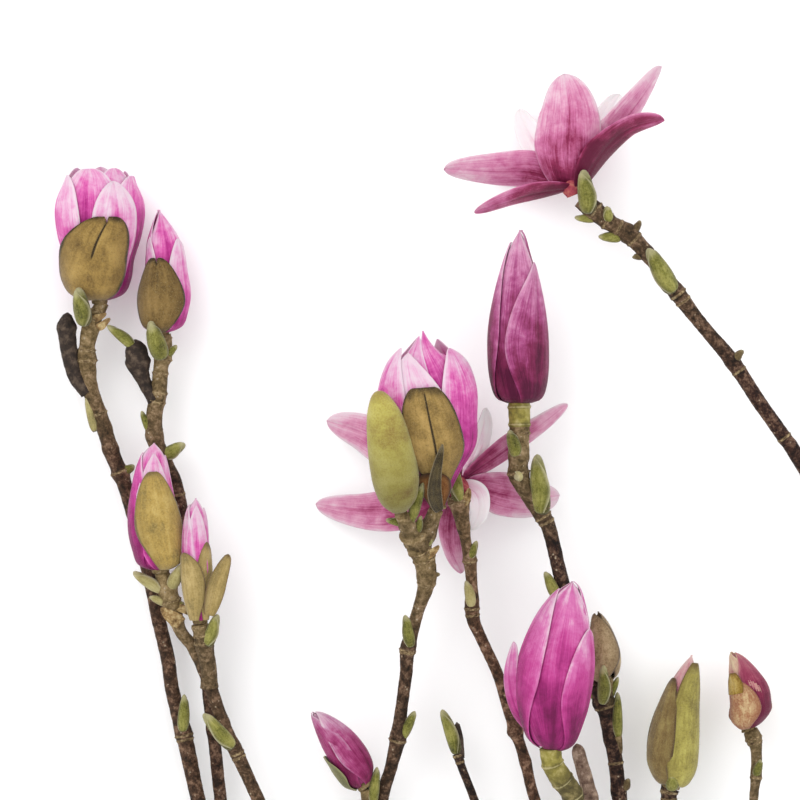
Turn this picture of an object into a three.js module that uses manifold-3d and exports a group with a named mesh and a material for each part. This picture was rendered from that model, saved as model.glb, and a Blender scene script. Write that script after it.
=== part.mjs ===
// Saucer magnolia branch, cut and laid flat: one limb that forks into eleven flowering twigs.
//
// Units are millimetres, +Z is up, and the branch lies in the XY plane with its flowers towards +Y.
// All places are given in a drawing frame whose floor is z = 0. ORIGIN then moves the whole branch so
// that the middle of its footprint is the origin.

import * as THREE from 'three';
import { mergeVertices } from 'three/addons/utils/BufferGeometryUtils.js';
import Module from 'manifold-3d';

const wasm = await Module();
wasm.setup();

// ---------------------------------------------------------------- driving dimensions

const ORIGIN = [39.8, -116.6, 0]; // middle of the footprint in the drawing frame
const GAP = 0.35; // clear space between two pieces that touch
const TEPAL = 1.2; // thickness of a petal-like tepal
const PERULE = 1.1; // thickness of a furry bud scale
const HEART = 0.84; // share of the girth that the heart of a bud fills
const HEART_RINGS = 4; // cells along the heart
const SINK = 0.5; // share of the girth at which a tepal ends inside the heart of its bud
const CLEARANCE = 1.2; // smallest distance of a tepal from the middle line of its bud
const WRAP_ROOT = 0.5; // width of a wrapped blade's root as a share of its greatest width
const CLAW_ROOT = 0.3; // the same for an open tepal, which narrows to a claw
const TIP_HALF_WIDTH = 0.45; // half width that is left at the very tip of a blade
const TWIG_SIDES = 6;
const LIMB_SIDES = 10;
const BUD_SIDES = 4;
const HEART_SIDES = 6;
const RING_STEP = 30; // distance between two rings along a twig
const BLADE_ACROSS = 3; // cells across a tepal
const SCALE_ACROSS = 6; // cells across a bud scale, which lies closely round its bud
const NOTCH_REACH = 0.1; // half width of the notch as a share of the scale's half width
const BLADE_ROWS = [0, 0.08, 0.38, 0.82, 1]; // places of the rows along a blade
const SPINE_CELLS = 4; // cells along a blade that follows a spine of its own
const DOME = 16; // how abruptly a blunt bud closes at its tip
const END_CROWDING = 0.65; // how far a bud's rings move from equal steps towards its two ends

// ---------------------------------------------------------------- twigs: [x, y, z, radius]

const LIMB = [[115, -400, 8, 9], [120, -360, 8, 8.6], [121, -330, 12, 7.8],
  [121.5, -300, 17, 6.8], [122.5, -274, 20, 5.6]];

const TWIGS = {
  leftLimb: [[120, -357, 10, 6], [80, -355, 12, 6], [45, -347.5, 14, 5.6], [12.5, -332.5, 16, 5.2],
    [-24, -305, 17, 4.8], [-50, -288, 17, 4.5], [-75, -275, 16, 4.2]],
  twigA: [[-75, -275, 16, 4], [-86, -250, 16, 3.8], [-95.5, -225, 15, 3.7], [-102, -200, 15, 3.7],
    [-108.5, -170, 15, 4.3], [-114.5, -147, 15, 3.6], [-117, -130, 15, 3.6], [-121.5, -111, 15, 3.6],
    [-124.5, -95.5, 16, 3.7], [-130, -72.5, 16, 3.7], [-139, -41.5, 18, 3.7], [-145, -26.5, 19, 3.9],
    [-150, -10, 20, 3.7], [-156, 6.5, 21, 4.2], [-157.5, 23, 22, 4], [-156, 34, 23, 3.9],
    [-153, 42, 24, 4.2], [-149.5, 49, 24, 3.8]],
  stubA: [[-157, 4, 21, 3.2], [-163, 12, 22, 3.9], [-166.5, 26, 22, 4.4], [-167.5, 37, 23, 4.2],
    [-167, 44, 23, 2.6]],
  twigB: [[-75, -275, 16, 4], [-81.5, -250, 16, 3.5], [-87, -225, 15, 3.2], [-90.5, -200, 15, 3.2],
    [-93.7, -170, 15, 3.2], [-96, -152, 15, 3.2], [-98.5, -125, 15, 3.2], [-100.5, -110, 15, 3.2],
    [-105, -80, 16, 3.3], [-111, -50, 18, 3.3], [-113.5, -40, 19, 3.4], [-117.5, -32.5, 20, 3.6],
    [-123, -20, 21, 4.2], [-123.5, -7, 21, 4.2], [-121.5, 2.5, 22, 4.2], [-120, 17.5, 23, 3.7],
    [-118, 26, 24, 3.6], [-118.5, 33, 24, 3.8]],
  stubB: [[-123, 0, 22, 3.2], [-128, 8, 22, 3.4], [-131, 16, 23, 4.6], [-132.5, 25, 24, 5],
    [-133, 30.5, 24, 3]],
  twigC: [[-24, -305, 17, 4.4], [-36, -275, 18, 3.8], [-50, -245, 20, 3.4], [-61.5, -222, 22, 3.3],
    [-71.5, -200, 25, 3.2], [-81, -179, 28, 3.4], [-89, -161, 31, 3.2], [-95, -143.5, 33, 3.4],
    [-98, -136, 33, 3.3], [-103, -124.5, 34, 3.2], [-110, -115.5, 34.5, 3.2], [-114, -102.5, 35, 4.1],
    [-117, -93, 36, 4.2], [-119.5, -86, 36, 3.6]],
  twigC2: [[-95.5, -144, 33, 3.6], [-96, -134, 35, 4.1], [-98, -122.5, 38, 4.3], [-100.3, -112, 40, 4]],
  twigD: [[12.5, -332.5, 16, 4.6], [6, -315, 18, 4], [-2.5, -280, 18, 3.6], [-10, -250, 19, 3.4],
    [-12, -225, 20, 3.4], [-9, -200, 22, 3.4], [-4.5, -184.5, 24, 3.2], [-1, -169.5, 27, 3.9],
    [0.5, -156.5, 29, 3.2], [3, -137.5, 32, 3.2], [4, -124.5, 34, 3.6], [9, -105.5, 38, 3.1],
    [13, -92.5, 43, 4.2], [12.5, -81, 47, 5.4], [9, -72.5, 51, 5.4], [6.5, -66, 56, 4.6]],
  peduncleD1: [[8, -70, 53, 4.2], [3.5, -62, 60, 3.6], [0.5, -56.5, 66, 3.4]],
  peduncleD: [[9, -74, 51, 4.4], [14, -64, 54, 4], [18, -54.5, 57, 3.6]],
  twigI: [[-11.5, -220, 20.5, 3], [-15, -205, 25, 3.2], [-17, -195, 28, 3.4]],
  twigE: [[122, -320, 14, 4], [112, -305, 18, 3.8], [99, -280, 18, 3.4], [87.5, -250, 18, 3.1],
    [77.5, -225, 18, 2.9], [67.5, -200, 19, 2.8], [62.5, -180, 20, 2.8], [55, -157.5, 22, 2.8],
    [49, -137.5, 25, 2.8], [40, -118, 28, 2.9], [36.5, -108.5, 29, 3.4], [36, -92.5, 31, 2.9],
    [35, -80, 33, 3.2], [33.5, -73.5, 34, 2.8], [32, -65, 37, 3], [30, -54, 40, 4.6],
    [29, -48, 40, 5]],
  twigH: [[99, -280, 18, 2.8], [70, -262, 18, 2.6], [55, -245, 18, 2.4], [45, -222.5, 18.5, 2.2],
    [37, -200, 19, 2.1], [31, -184.5, 20, 2.1], [29, -178, 20, 2.4]],
  stubH: [[30, -180, 20, 1.8], [30, -171, 20, 1.9], [28.5, -162, 20.5, 1.3]],
  stumpM: [[120, -267.5, 21, 4], [106, -245, 24, 3.8], [100, -225, 26, 3.7], [95.7, -200, 27, 3.7],
    [91, -182.5, 28, 3.7], [88.5, -172.5, 30, 3.8]],
  twigG: [[101, -228, 26, 3.6], [96, -217, 34, 3.8], [91, -207, 42, 4.2], [86, -197, 48, 4.4]],
  twigF: [[121.5, -275, 20, 4.6], [119, -250, 21, 4], [115, -225, 23, 3.8], [110.3, -200, 25, 3.7],
    [108, -180, 26, 3.7], [104.5, -163.5, 27, 3.7], [102, -151.5, 28, 4.2], [90, -120, 30, 3.6],
    [81, -90, 32, 3.6], [77, -73.5, 34, 3.6], [73.5, -61.5, 36, 3.8], [65.5, -49.5, 38, 4],
    [59.5, -37.5, 39, 4.8], [59.5, -25, 40, 5], [59.8, -11, 40, 5.2]],
  twigF2: [[102.5, -152.5, 28, 3], [103, -146, 31, 3.4], [103, -141.5, 33, 3.4]],
  sideF: [[108.5, -181, 26, 1.8], [110, -175, 27, 1.7], [109, -168.5, 28.5, 2]],
  twigJ: [[122, -295, 18, 3.8], [125, -282, 20, 3.6], [132, -250, 21, 3.6], [135, -225, 23, 3.6],
    [135, -200, 25, 3.8], [135.8, -195, 25, 4.3]],
  twigK: [[121.5, -318, 15, 3.2], [137.5, -300, 20, 3], [157.5, -277.5, 20, 2.7], [171, -250, 21, 2.4],
    [176.5, -225, 22, 2.2], [177.8, -200, 23, 2.1], [179, -188, 23, 2.7], [179, -176, 24, 2.9],
    [177.5, -169.5, 24, 4.2], [176, -166, 24, 3.6]],
  twigL: [[121, -345, 12, 5], [165, -312.5, 12, 4.6], [206, -280, 9.5, 4.3], [235, -240, 5.5, 4.1],
    [247.5, -190, 3.7, 4], [246.5, -140, 3.9, 3.9], [230, -80, 9, 3.8], [200, -28.5, 17, 3.7],
    [193.5, -19, 18, 3.6], [180, 0, 20, 3.6], [167, 19.5, 22, 3.7], [151, 38.5, 24, 3.4],
    [140.5, 52, 26, 4], [130, 66, 28, 3.5], [116, 82, 30, 4.2], [105, 89, 31, 3.9],
    [96, 96, 31, 4.4], [90, 100.5, 31, 4.2]],
};

// ---------------------------------------------------------------- small green side buds
// Each is [root, tip, radius]; the root lies inside the twig that the bud sits on.

const SIDE_BUDS = [
  [[-158, 38, 27], [-161, 56, 39], 4.4],
  [[-153.5, -16, 21], [-158, 2, 22], 2], [[-141.5, -37, 19], [-133.5, -33, 20], 2.6],
  [[-109.5, -167, 18], [-108.5, -148, 21], 2.9], [[-119.5, 21, 26], [-125, 39.5, 36], 4.4],
  [[-117.5, 22, 25], [-112, 27.5, 26], 2], [[-124, -18, 21], [-130, -5.5, 22], 2.2],
  [[-119, -29, 20], [-108, -22, 23], 3.4], [[-132.5, 26, 25], [-147, 37.5, 27], 2.7],
  [[-118.5, -95, 37], [-133.5, -86, 39], 3.1],
  [[-115, -94, 38], [-109.5, -82.5, 43], 3.1], [[-117, -102, 35], [-125.5, -98.5, 36], 2],
  [[-96, -123, 41], [-91, -107, 43], 3.3],
  [[-84, -174.5, 31], [-98.5, -157, 36], 3.8], [[3, -61, 60], [-7, -59.5, 62], 2.2],
  [[5, -61, 61], [11.5, -41, 69], 2.6], [[9, -66, 57], [10.5, -57.5, 62], 1.8],
 
  [[5, -124, 36], [2.5, -107.5, 39], 3], [[1, -169.5, 28], [7.5, -156, 30], 2.7],
  [[-14, -203, 28], [-11.5, -184, 31], 2.6],
  [[29, -51, 44], [27, -32, 45], 3.4], [[35, -80, 34], [38.5, -70.5, 36], 2.2],
  [[36, -104, 31], [33, -90.5, 34], 2.7], [[29, -178, 21], [21.5, -155.5, 24], 4.2],
  [[58.5, -28, 43], [54.5, -15, 45], 3.3], [[59.5, -38, 43], [58, -39, 45.5], 2.6],
  [[71.5, -57, 39], [68.5, -27, 43], 5.2], [[79, -100, 33], [72.5, -86, 33], 3],
  [[102, -152, 32], [101.5, -132.5, 44], 3.3], [[104, -151, 29], [109.5, -139, 28], 2],
  [[109, -170, 28], [109, -146.5, 30], 2.7],
  [[112, -196, 26], [115, -190, 27], 2.2], [[136.5, -195, 28.5], [136, -186.5, 35], 3.4],
  [[178.5, -189, 24], [181, -180.5, 26], 2.2], [[95, 94, 34], [91.5, 115, 43], 4.6],
  [[98, 91, 31], [87.5, 91.5, 31], 2.2], [[104, 89, 33], [103.5, 97, 36], 2.6],
  [[111, 81.5, 30], [99.5, 82, 30], 2.6],
  [[124, 73, 29], [116.5, 71.5, 29], 2], [[137, 54, 29], [124, 76, 34], 4.8],
  [[167.5, 19, 23], [172.5, 25, 24], 2.3], [[230, -80, 12], [240, -62, 15], 3],
  [[247, -150, 5], [237, -134, 7], 3], [[238, -235, 6], [248, -219, 8], 3],
  [[170, -310, 12], [170, -292, 15], 3], [[-12, -228, 21], [-3, -214, 24], 2.6],
  [[-62, -222, 23], [-57, -206, 27], 2.6], [[-90, -240, 17], [-100, -226, 19], 2.6],
  [[60, -351, 14], [52, -334, 17], 3.2], [[87, -248, 19], [93, -234, 22], 2.4],
  [[132, -250, 22], [140, -236, 25], 2.6], [[-38, -270, 19], [-46, -257, 23], 2.6],
];

// ---------------------------------------------------------------- buds and flowers
// root and tip are the ends of the axis, bow bends its middle, and depth flattens the form towards the
// viewer's side. girth is the radius at equal steps of share ** round from root to tip, so that a small
// round gives a full, rounded base. A blunt form closes in a rounded tip.
//
// A layer lies round the axis: turn and reach are in degrees (0 faces +Z, 90 faces +X), start and end are
// shares of the axis, lift off the girth and flare at the tip are in millimetres, point says how late the
// blade narrows, top is the share of its width that is left there, notch the share of the axis that is
// cut out of the middle of its top, root the width of its root, and twist and skew, in degrees, turn it
// on the way up, skew mostly near the tip.
//
// A spread blade follows a spine from root to tip. facing is the side that it turns to the viewer, half
// is half its greatest width, cup is the angle that its section bends through, away from the facing side
// when negative, and point says how late it narrows.

const layer = (turn, reach, start, end, more = {}) => ({ turn, reach, start, end, lift: -0.6, flare: 0,
  point: 3, top: 0, notch: 0, twist: 0, skew: 0, root: WRAP_ROOT, ...more });
const spread = (spine, facing, half, cup, point = 2.6) => ({ spine, facing, half, cup, point });

const BLOOMS = {
  A: {
    root: [-151, 50, 22], tip: [-151.5, 116, 21], bow: [0, 0, 0], depth: 0.95,
    round: 0.6, girth: [4, 12.4, 16, 17.6, 21.6, 22.6, 17], heart: 0.6,
    tepals: [layer(-76, 48, 0, 0.955, { flare: -1, point: 6, top: 0.1 }),
      layer(26, 36, 0, 0.9, { point: 4.6 }), layer(102, 38, 0, 0.945, { point: 5.5, top: 0.1 }),
      layer(-170, 46, 0, 0.92), layer(-17, 40, 0.4, 0.995, { lift: -2.6, point: 7, top: 0.2 }),
      layer(58, 36, 0.4, 1, { lift: -2.6, point: 5.5 }), layer(178, 46, 0.4, 1.03, { lift: -2.8, point: 4 })],
    perules: [layer(-28, 74, 0, 0.625,
      { lift: 1.5, flare: -0.6, point: 1.4, top: 0.16, notch: 0.05, twist: 40, root: 0.9 })],
  },
  B: {
    root: [-120, 34, 24], tip: [-121, 95.5, 26], bow: [2.5, 0, 0], depth: 0.95,
    round: 0.6, girth: [4, 10.2, 12, 12.8, 10.8, 9, 3.6], blunt: true, heart: 0.95,
    tepals: [layer(175, 57, 0, 1, { point: 6, top: 0.5 }), layer(-66, 51, 0, 0.78),
      layer(58, 53, 0, 0.765, { point: 4 }), layer(6, 58, 0.6, 1, { lift: -2.4, point: 6, top: 0.5 })],
    perules: [layer(-12, 66, 0, 0.61, { lift: 1.4, point: 2.1, top: 0.2, notch: 0.04, twist: -8 })],
  },
  C1: {
    root: [-120, -85, 37], tip: [-123, -21.5, 37], bow: [-2.5, 0, 0], depth: 0.9,
    round: 0.6, girth: [4.4, 10.8, 12.4, 13.4, 12.3, 9.6, 6.4], blunt: true, heart: 0.95,
    tepals: [layer(180, 58, 0, 1, { point: 6, top: 0.5 }), layer(-62, 54, 0, 0.93, { point: 4 }),
      layer(58, 54, 0, 0.9, { point: 4 }), layer(0, 58, 0.6, 1, { lift: -2.2, point: 6, top: 0.5 })],
    perules: [layer(28, 60, 0, 0.775, { lift: 1.4, point: 2.5, top: 0.18, twist: -24 })],
  },
  C2: {
    root: [-100, -110, 42], tip: [-102, -49, 43], bow: [-1, 0, 0], depth: 1,
    round: 0.8, girth: [3.8, 5.4, 6.4, 6.9, 6.9, 6.2, 4.4], blunt: true, heart: 0.95,
    tepals: [layer(180, 58, 0, 1, { point: 6, top: 0.5 }), layer(-62, 56, 0, 0.95, { point: 5, top: 0.2 }),
      layer(58, 56, 0, 0.98, { point: 5, top: 0.4 })],
    perules: [layer(-44, 82, 0, 0.56, { lift: 1.3, point: 3.4 })],
  },
  D: {
    root: [19, -52.5, 58], tip: [12.5, 33, 63], bow: [-2, 0, 2], depth: 0.78,
    round: 1, girth: [4, 12, 22.5, 24.4, 24.8, 20.5, 11], heart: 0.58,
    tepals: [layer(-4, 34, 0, 0.9, { point: 3.2, skew: -28 }),
      layer(68, 36, 0, 0.91, { point: 3.4, skew: -17 }),
      layer(-78, 38, 0, 0.93, { point: 3.4, skew: 11 }), layer(174, 54, 0, 0.88),
      layer(40, 36, 0.4, 1.02, { lift: -3, flare: -2, point: 2.6, skew: -54 }),
      layer(-66, 36, 0.4, 0.98, { lift: -3 }), layer(150, 44, 0.4, 0.97, { lift: -3 })],
    perules: [layer(13, 37, 0, 0.7, { lift: 1.5, point: 2.8, top: 0.34, twist: -16 })],
  },
  F: {
    root: [59.5, -1.5, 40], tip: [60, 85, 41], bow: [-1, 0, 0], depth: 0.95,
    round: 0.5, girth: [6, 11.2, 13.8, 15, 14.5, 10.8, 4.4], blunt: true, heart: 0.95,
    tepals: [layer(42, 59, 0, 0.815, { lift: -0.4, point: 2.9, skew: 28 }),
      layer(-78, 56, 0, 0.93, { point: 4 }), layer(164, 57, 0, 1, { point: 6, top: 0.5 }),
      layer(-8, 62, 0.6, 1, { lift: -2.4, point: 6, top: 0.5 })],
    perules: [],
  },
  F2: {
    root: [103, -140.5, 34], tip: [98.5, -106, 36], bow: [1.5, 0, 0], depth: 1,
    round: 0.7, girth: [4, 6.6, 7.8, 7.8, 6.8, 5.2, 3], blunt: true, heart: 0.95,
    tepals: [layer(115, 88, 0, 1, { lift: -0.4, point: 6, top: 0.4 }),
      layer(-65, 88, 0, 0.985, { lift: -0.4, point: 5, top: 0.4 })],
    perules: [],
  },
  G: {
    root: [74.5, -173.5, 60], tip: [85.5, -90, 61], bow: [-3, 0, 1], depth: 0.95,
    round: 0.6, girth: [5.6, 11.5, 15.2, 18.3, 18.8, 14.9, 8], blunt: true, heart: 0.95,
    tepals: [layer(169, 48, 0, 1, { point: 6, top: 0.5 }), layer(-16, 40, 0, 1, { point: 6, top: 0.3 }),
      layer(72, 46, 0, 0.74, { lift: -0.4, point: 2.9, skew: -7 }),
      layer(-102, 40, 0, 0.95, { point: 3.4, twist: 26 }),
      layer(50, 52, 0.6, 1, { lift: -2.6, point: 6, top: 0.5 })],
    perules: [],
    loose: [spread([[70, -169, 61], [58.5, -155, 62], [54, -137, 62], [56.5, -120, 62]],
      [-0.75, -0.1, 0.65], 8, -75, 2.4)],
  },
  I: {
    root: [-18, -193, 29], tip: [-44, -156.5, 31], bow: [1.5, 1, 0], depth: 1,
    round: 0.8, girth: [4, 8, 9.4, 9.3, 8.2, 6, 3.4], blunt: true, heart: 0.95,
    tepals: [layer(170, 58, 0, 1, { point: 6, top: 0.5 }), layer(-66, 56, 0, 1, { point: 5, top: 0.4 }),
      layer(52, 56, 0, 0.985, { point: 5, top: 0.4 })],
    perules: [layer(-95, 62, 0, 0.52, { lift: 1.3, point: 2.8 })],
  },
  J: {
    root: [136, -193.5, 26], tip: [146.5, -128, 27], bow: [-3, -0.5, 0], depth: 0.95,
    round: 0.6, girth: [4.6, 8, 11, 11.4, 10.2, 7.2, 3.4], blunt: true, heart: 0.95,
    tepals: [layer(180, 80, 0.6, 1, { lift: -1, top: 0.3 }),
      layer(0, 80, 0.6, 1, { lift: -1, point: 4, top: 0.3 })],
    perules: [layer(176, 57, 0, 0.88, { lift: 1.2 }),
      layer(58, 53, 0, 0.95, { lift: 1.2, point: 4, top: 0.2 }),
      layer(-62, 53, 0, 0.8, { lift: 1.2, point: 2.6, top: 0.1, twist: 10 })],
  },
  K: {
    root: [175.2, -164.8, 24], tip: [166.5, -126.5, 25], bow: [4, 0, 0], depth: 1,
    round: 0.6, girth: [3.6, 6.8, 10, 10.4, 9.8, 7, 3.4], blunt: true, heart: 0.95,
    tepals: [layer(175, 58, 0, 1, { point: 6, top: 0.5 }), layer(-60, 55, 0, 1, { point: 5, top: 0.4 }),
      layer(56, 56, 0, 0.985, { point: 5, top: 0.4 })],
    perules: [layer(-16, 52, 0, 0.58, { lift: 1.3, point: 2.4, top: 0.14 }),
      layer(170, 62, 0, 0.5, { lift: 1.3 })],
  },
};

const OPEN_BLOOMS = {
  E: {
    heart: { root: [29.5, -46.5, 38.5], tip: [28, -38, 26], girth: [4.6, 5.6, 5, 3, 1] },
    tepals: [
      spread([[26, -42, 33], [2, -29, 28], [-18, -17, 20], [-37, -10.5, 12]], [0.1, -0.2, 1], 12.5, -55, 3),
      spread([[26, -46, 33], [2, -53, 26], [-16, -55.5, 17], [-42.5, -52.5, 8]], [0, 0.2, 1], 12.5, -55, 3),
      spread([[27, -48, 33], [25, -64, 29], [26.5, -77, 24], [31, -87, 19]], [-0.5, 0, 1], 8, -60),
      spread([[30, -42, 33], [38, -47, 34], [39.5, -56, 31], [35.5, -65, 28]], [0.3, 0, 1], 6.5, 50, 2.8),
      spread([[31, -40, 33], [53, -25, 29], [70, -13, 27], [84, -2, 28]], [0.3, -0.5, 0.8], 7.5, -50),
      spread([[34, -42, 33], [52, -47.5, 26], [67, -50, 19], [80.5, -48, 12]], [0, -0.1, 1], 12, -55, 3),
      spread([[32, -38, 33], [38, -25, 33], [42, -12, 30], [43.5, -4, 28]], [0.8, 0.1, 0.7], 7, 40),
      spread([[28, -38, 30], [22, -20, 22], [14, -4, 16], [8, 10, 13]], [0.2, 0.2, 1], 10, -40),
      spread([[29.5, -42.5, 31], [45, -48, 16], [58, -50, 6], [68, -50, 1.2]], [0, 0.1, 1], 6.5, -40),
    ],
  },
  L: {
    heart: { root: [88, 103, 31], tip: [82.5, 116, 31], girth: [4.4, 5.6, 5.2, 3.4, 1] },
    tepals: [
      spread([[84, 107, 31], [67.5, 114, 31], [47, 114.5, 29], [22, 116, 25]],
        [0, -0.55, 0.85], 12, -60, 3.2),
      spread([[85, 106, 34], [67.5, 103, 39], [52.5, 98.5, 43], [37, 94, 44]], [0, -0.85, 0.5], 9.5, -50),
      spread([[85, 107, 34], [84, 125, 44], [84.5, 145, 47], [82, 163, 42]], [0, -0.05, 1], 18.5, -75, 3.4),
      spread([[88, 108, 30], [103, 127.5, 33], [118, 147.5, 32], [131.5, 167.5, 27]],
        [0.65, -0.45, 0.6], 13, -55),
      spread([[90, 106, 34], [101, 123.5, 40], [115, 135.5, 44], [132, 140, 45]],
        [0.5, -0.65, 0.55], 12, -50),
      spread([[84, 110, 28], [72.5, 122.5, 20], [63.5, 137.5, 14], [60, 146.5, 13]],
        [-0.4, 0.2, 0.9], 8, 45, 2.8),
      spread([[87, 110, 28], [97.5, 130, 20], [106, 146, 13], [111, 154, 11]],
        [0.4, 0.2, 0.9], 8, 45, 2.8),
      spread([[85, 110, 27], [84, 125, 14], [82, 139, 5], [80, 150, 0.9]], [0, 0.4, 0.9], 13, 50, 2.8),
      spread([[84, 107, 28], [68, 112, 16], [56, 113.5, 6], [46, 114.5, 0.9]], [0, 0, 1], 6, 45),
    ],
  },
};

// Single buds and loose scales that are nodes of their own.
const GREEN_BUD_D = { root: [0, -55, 68], tip: [-10.8, 4.5, 85], bow: [1, 0, 0], round: 0.75,
  girth: [4, 9, 11.4, 11.8, 11, 8.9, 5.4], blunt: true };
const OPEN_SCALE_C2 = spread([[-95.5, -107.5, 45], [-92.5, -95, 48], [-89, -85, 48], [-85.5, -77, 47]],
  [0.35, 0, 0.95], 5.5, 70, 2.4);
const INNER_SCALE_D = spread([[19.5, -55, 62], [17, -47, 69.5], [18, -35, 78], [21, -22, 82.5]],
  [0.2, 0, 1], 5, 40, 2.2);
const NECK_F = [[59.8, -13.5, 40, 5.4], [59.7, -8, 40, 5.6], [59.5, -2, 40, 5.5]];
const NECK_G = [[87, -199, 47, 5.4], [84.5, -194, 51, 5.6], [80, -188, 55, 5.8], [76, -181, 58, 5.6],
  [74.6, -174, 60, 5.6]];

// ---------------------------------------------------------------- colours

const finish = (color, roughness) => new THREE.MeshStandardMaterial({ color, roughness, metalness: 0 });
const BARK = finish(0x5a463d, 0.85);
const PINK = finish(0xc75f9f, 0.5);
const MAGENTA = finish(0xa8327c, 0.5);
const DUSTY_PINK = finish(0xb06a98, 0.5);
const BROWN_FUR = finish(0x8b7a4c, 0.9);
const GREEN_FUR = finish(0x9a9c50, 0.9);
const CREAM = finish(0xd3bf8c, 0.8);
const NECK_GREEN = finish(0xa2a457, 0.7);

// ---------------------------------------------------------------- solids from grids of points

const vec = (p) => new THREE.Vector3(p[0], p[1], p[2]);
const mix = THREE.MathUtils.lerp;
const radians = THREE.MathUtils.degToRad;

function solid(positions, triangles) {
  const geometry = new THREE.BufferGeometry();
  const numbers = positions.flatMap((p) => p.toArray());
  geometry.setAttribute('position', new THREE.Float32BufferAttribute(numbers, 3));
  geometry.setIndex(triangles);
  return manifoldOf(geometry);
}

function manifoldOf(geometry) {
  const vertProperties = new Float32Array(geometry.attributes.position.array);
  const triVerts = new Uint32Array(geometry.index.array);
  return new wasm.Manifold(new wasm.Mesh({ numProp: 3, vertProperties, triVerts }));
}

// A closed body through rings of points, with a fan at each end.
function loft(rings) {
  const sides = rings[0].length;
  const points = rings.flat();
  const triangles = [];
  for (let i = 0; i + 1 < rings.length; i += 1) {
    for (let j = 0; j < sides; j += 1) {
      const a = i * sides + j;
      const b = i * sides + (j + 1) % sides;
      triangles.push(a, b, b + sides, a, b + sides, a + sides);
    }
  }
  const last = (rings.length - 1) * sides;
  for (let j = 1; j + 1 < sides; j += 1) {
    triangles.push(0, j + 1, j);
    triangles.push(last, last + j, last + j + 1);
  }
  return solid(points, triangles);
}

// A closed sheet between two grids of rows; both faces are split into triangles alike.
function sheet(front, back) {
  const rows = front.length;
  const columns = front[0].length;
  const points = [...front.flat(), ...back.flat()];
  const behind = rows * columns;
  const triangles = [];
  for (let i = 0; i + 1 < rows; i += 1) {
    for (let j = 0; j + 1 < columns; j += 1) {
      const a = i * columns + j;
      const b = a + 1;
      const c = b + columns;
      const d = a + columns;
      triangles.push(a, b, c, a, c, d);
      triangles.push(behind + a, behind + c, behind + b, behind + a, behind + d, behind + c);
    }
  }
  const wall = (a, b) => triangles.push(b, a, behind + a, b, behind + a, behind + b);
  for (let j = 0; j + 1 < columns; j += 1) {
    wall(j, j + 1);
    wall((rows - 1) * columns + j + 1, (rows - 1) * columns + j);
  }
  for (let i = 0; i + 1 < rows; i += 1) {
    wall((i + 1) * columns, i * columns);
    wall(i * columns + columns - 1, (i + 1) * columns + columns - 1);
  }
  return solid(points, triangles);
}

// Value at share t of a list of equally spaced numbers, smoothed between them.
function along(list, t) {
  const place = THREE.MathUtils.clamp(t, 0, 1) * (list.length - 1);
  const i = Math.min(Math.floor(place), list.length - 2);
  const [before, here, next, after] = [i - 1, i, i + 1, i + 2]
    .map((k) => list[THREE.MathUtils.clamp(k, 0, list.length - 1)]);
  const f = place - i;
  const slopeHere = (next - before) / 2;
  const slopeNext = (after - here) / 2;
  return (2 * f ** 3 - 3 * f ** 2 + 1) * here + (f ** 3 - 2 * f ** 2 + f) * slopeHere
    + (-2 * f ** 3 + 3 * f ** 2) * next + (f ** 3 - f ** 2) * slopeNext;
}

// The axis of a bud: its middle line, and the two directions across it.
function axisOf({ root, tip, bow = [0, 0, 0], depth = 1 }) {
  const start = vec(root);
  const run = vec(tip).sub(start);
  const up = run.clone().normalize();
  const right = new THREE.Vector3().crossVectors(up, new THREE.Vector3(0, 0, 1)).normalize();
  const out = new THREE.Vector3().crossVectors(right, up).normalize();
  const bend = vec(bow);
  const point = (t, turn, radius) => start.clone().addScaledVector(run, t)
    .addScaledVector(bend, 4 * t * (1 - t))
    .addScaledVector(right, Math.sin(turn) * radius)
    .addScaledVector(out, Math.cos(turn) * radius * depth);
  return { length: run.length(), point };
}

// Radius of a bud at a share of its length.
function girthAt({ girth, round = 1, blunt = false }, share) {
  const place = THREE.MathUtils.clamp(share, 0, 1);
  return along(girth, place ** round) * (blunt ? Math.sqrt(1 - place ** DOME) : 1);
}

// A round body on an axis, such as a small bud or the heart of a flower. Its rings are closer together
// near both ends.
function spindle(form, { sides, rings, grow = 0, top = 1, share = 1 }) {
  const axis = axisOf(form);
  const stretch = grow / axis.length;
  const loops = [];
  for (let i = 0; i <= rings; i += 1) {
    const step = mix(i / rings, (1 - Math.cos(Math.PI * i / rings)) / 2, END_CROWDING);
    const radius = Math.max(girthAt(form, step * top) * share, 0.5) + grow;
    const place = mix(-stretch, top + stretch, step);
    loops.push(Array.from({ length: sides }, (_, j) => axis.point(place, (j / sides) * 2 * Math.PI, radius)));
  }
  return loft(loops);
}

// Width of a blade at share t of its length: a firm root, a full middle and a pointed tip.
const bladeWidth = (t, point, root, top = 0) => mix((1 - t ** point) ** 0.62, 1, top)
  * (root + (1 - root) * Math.sin(Math.min(t / 0.4, 1) * Math.PI / 2));

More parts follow.
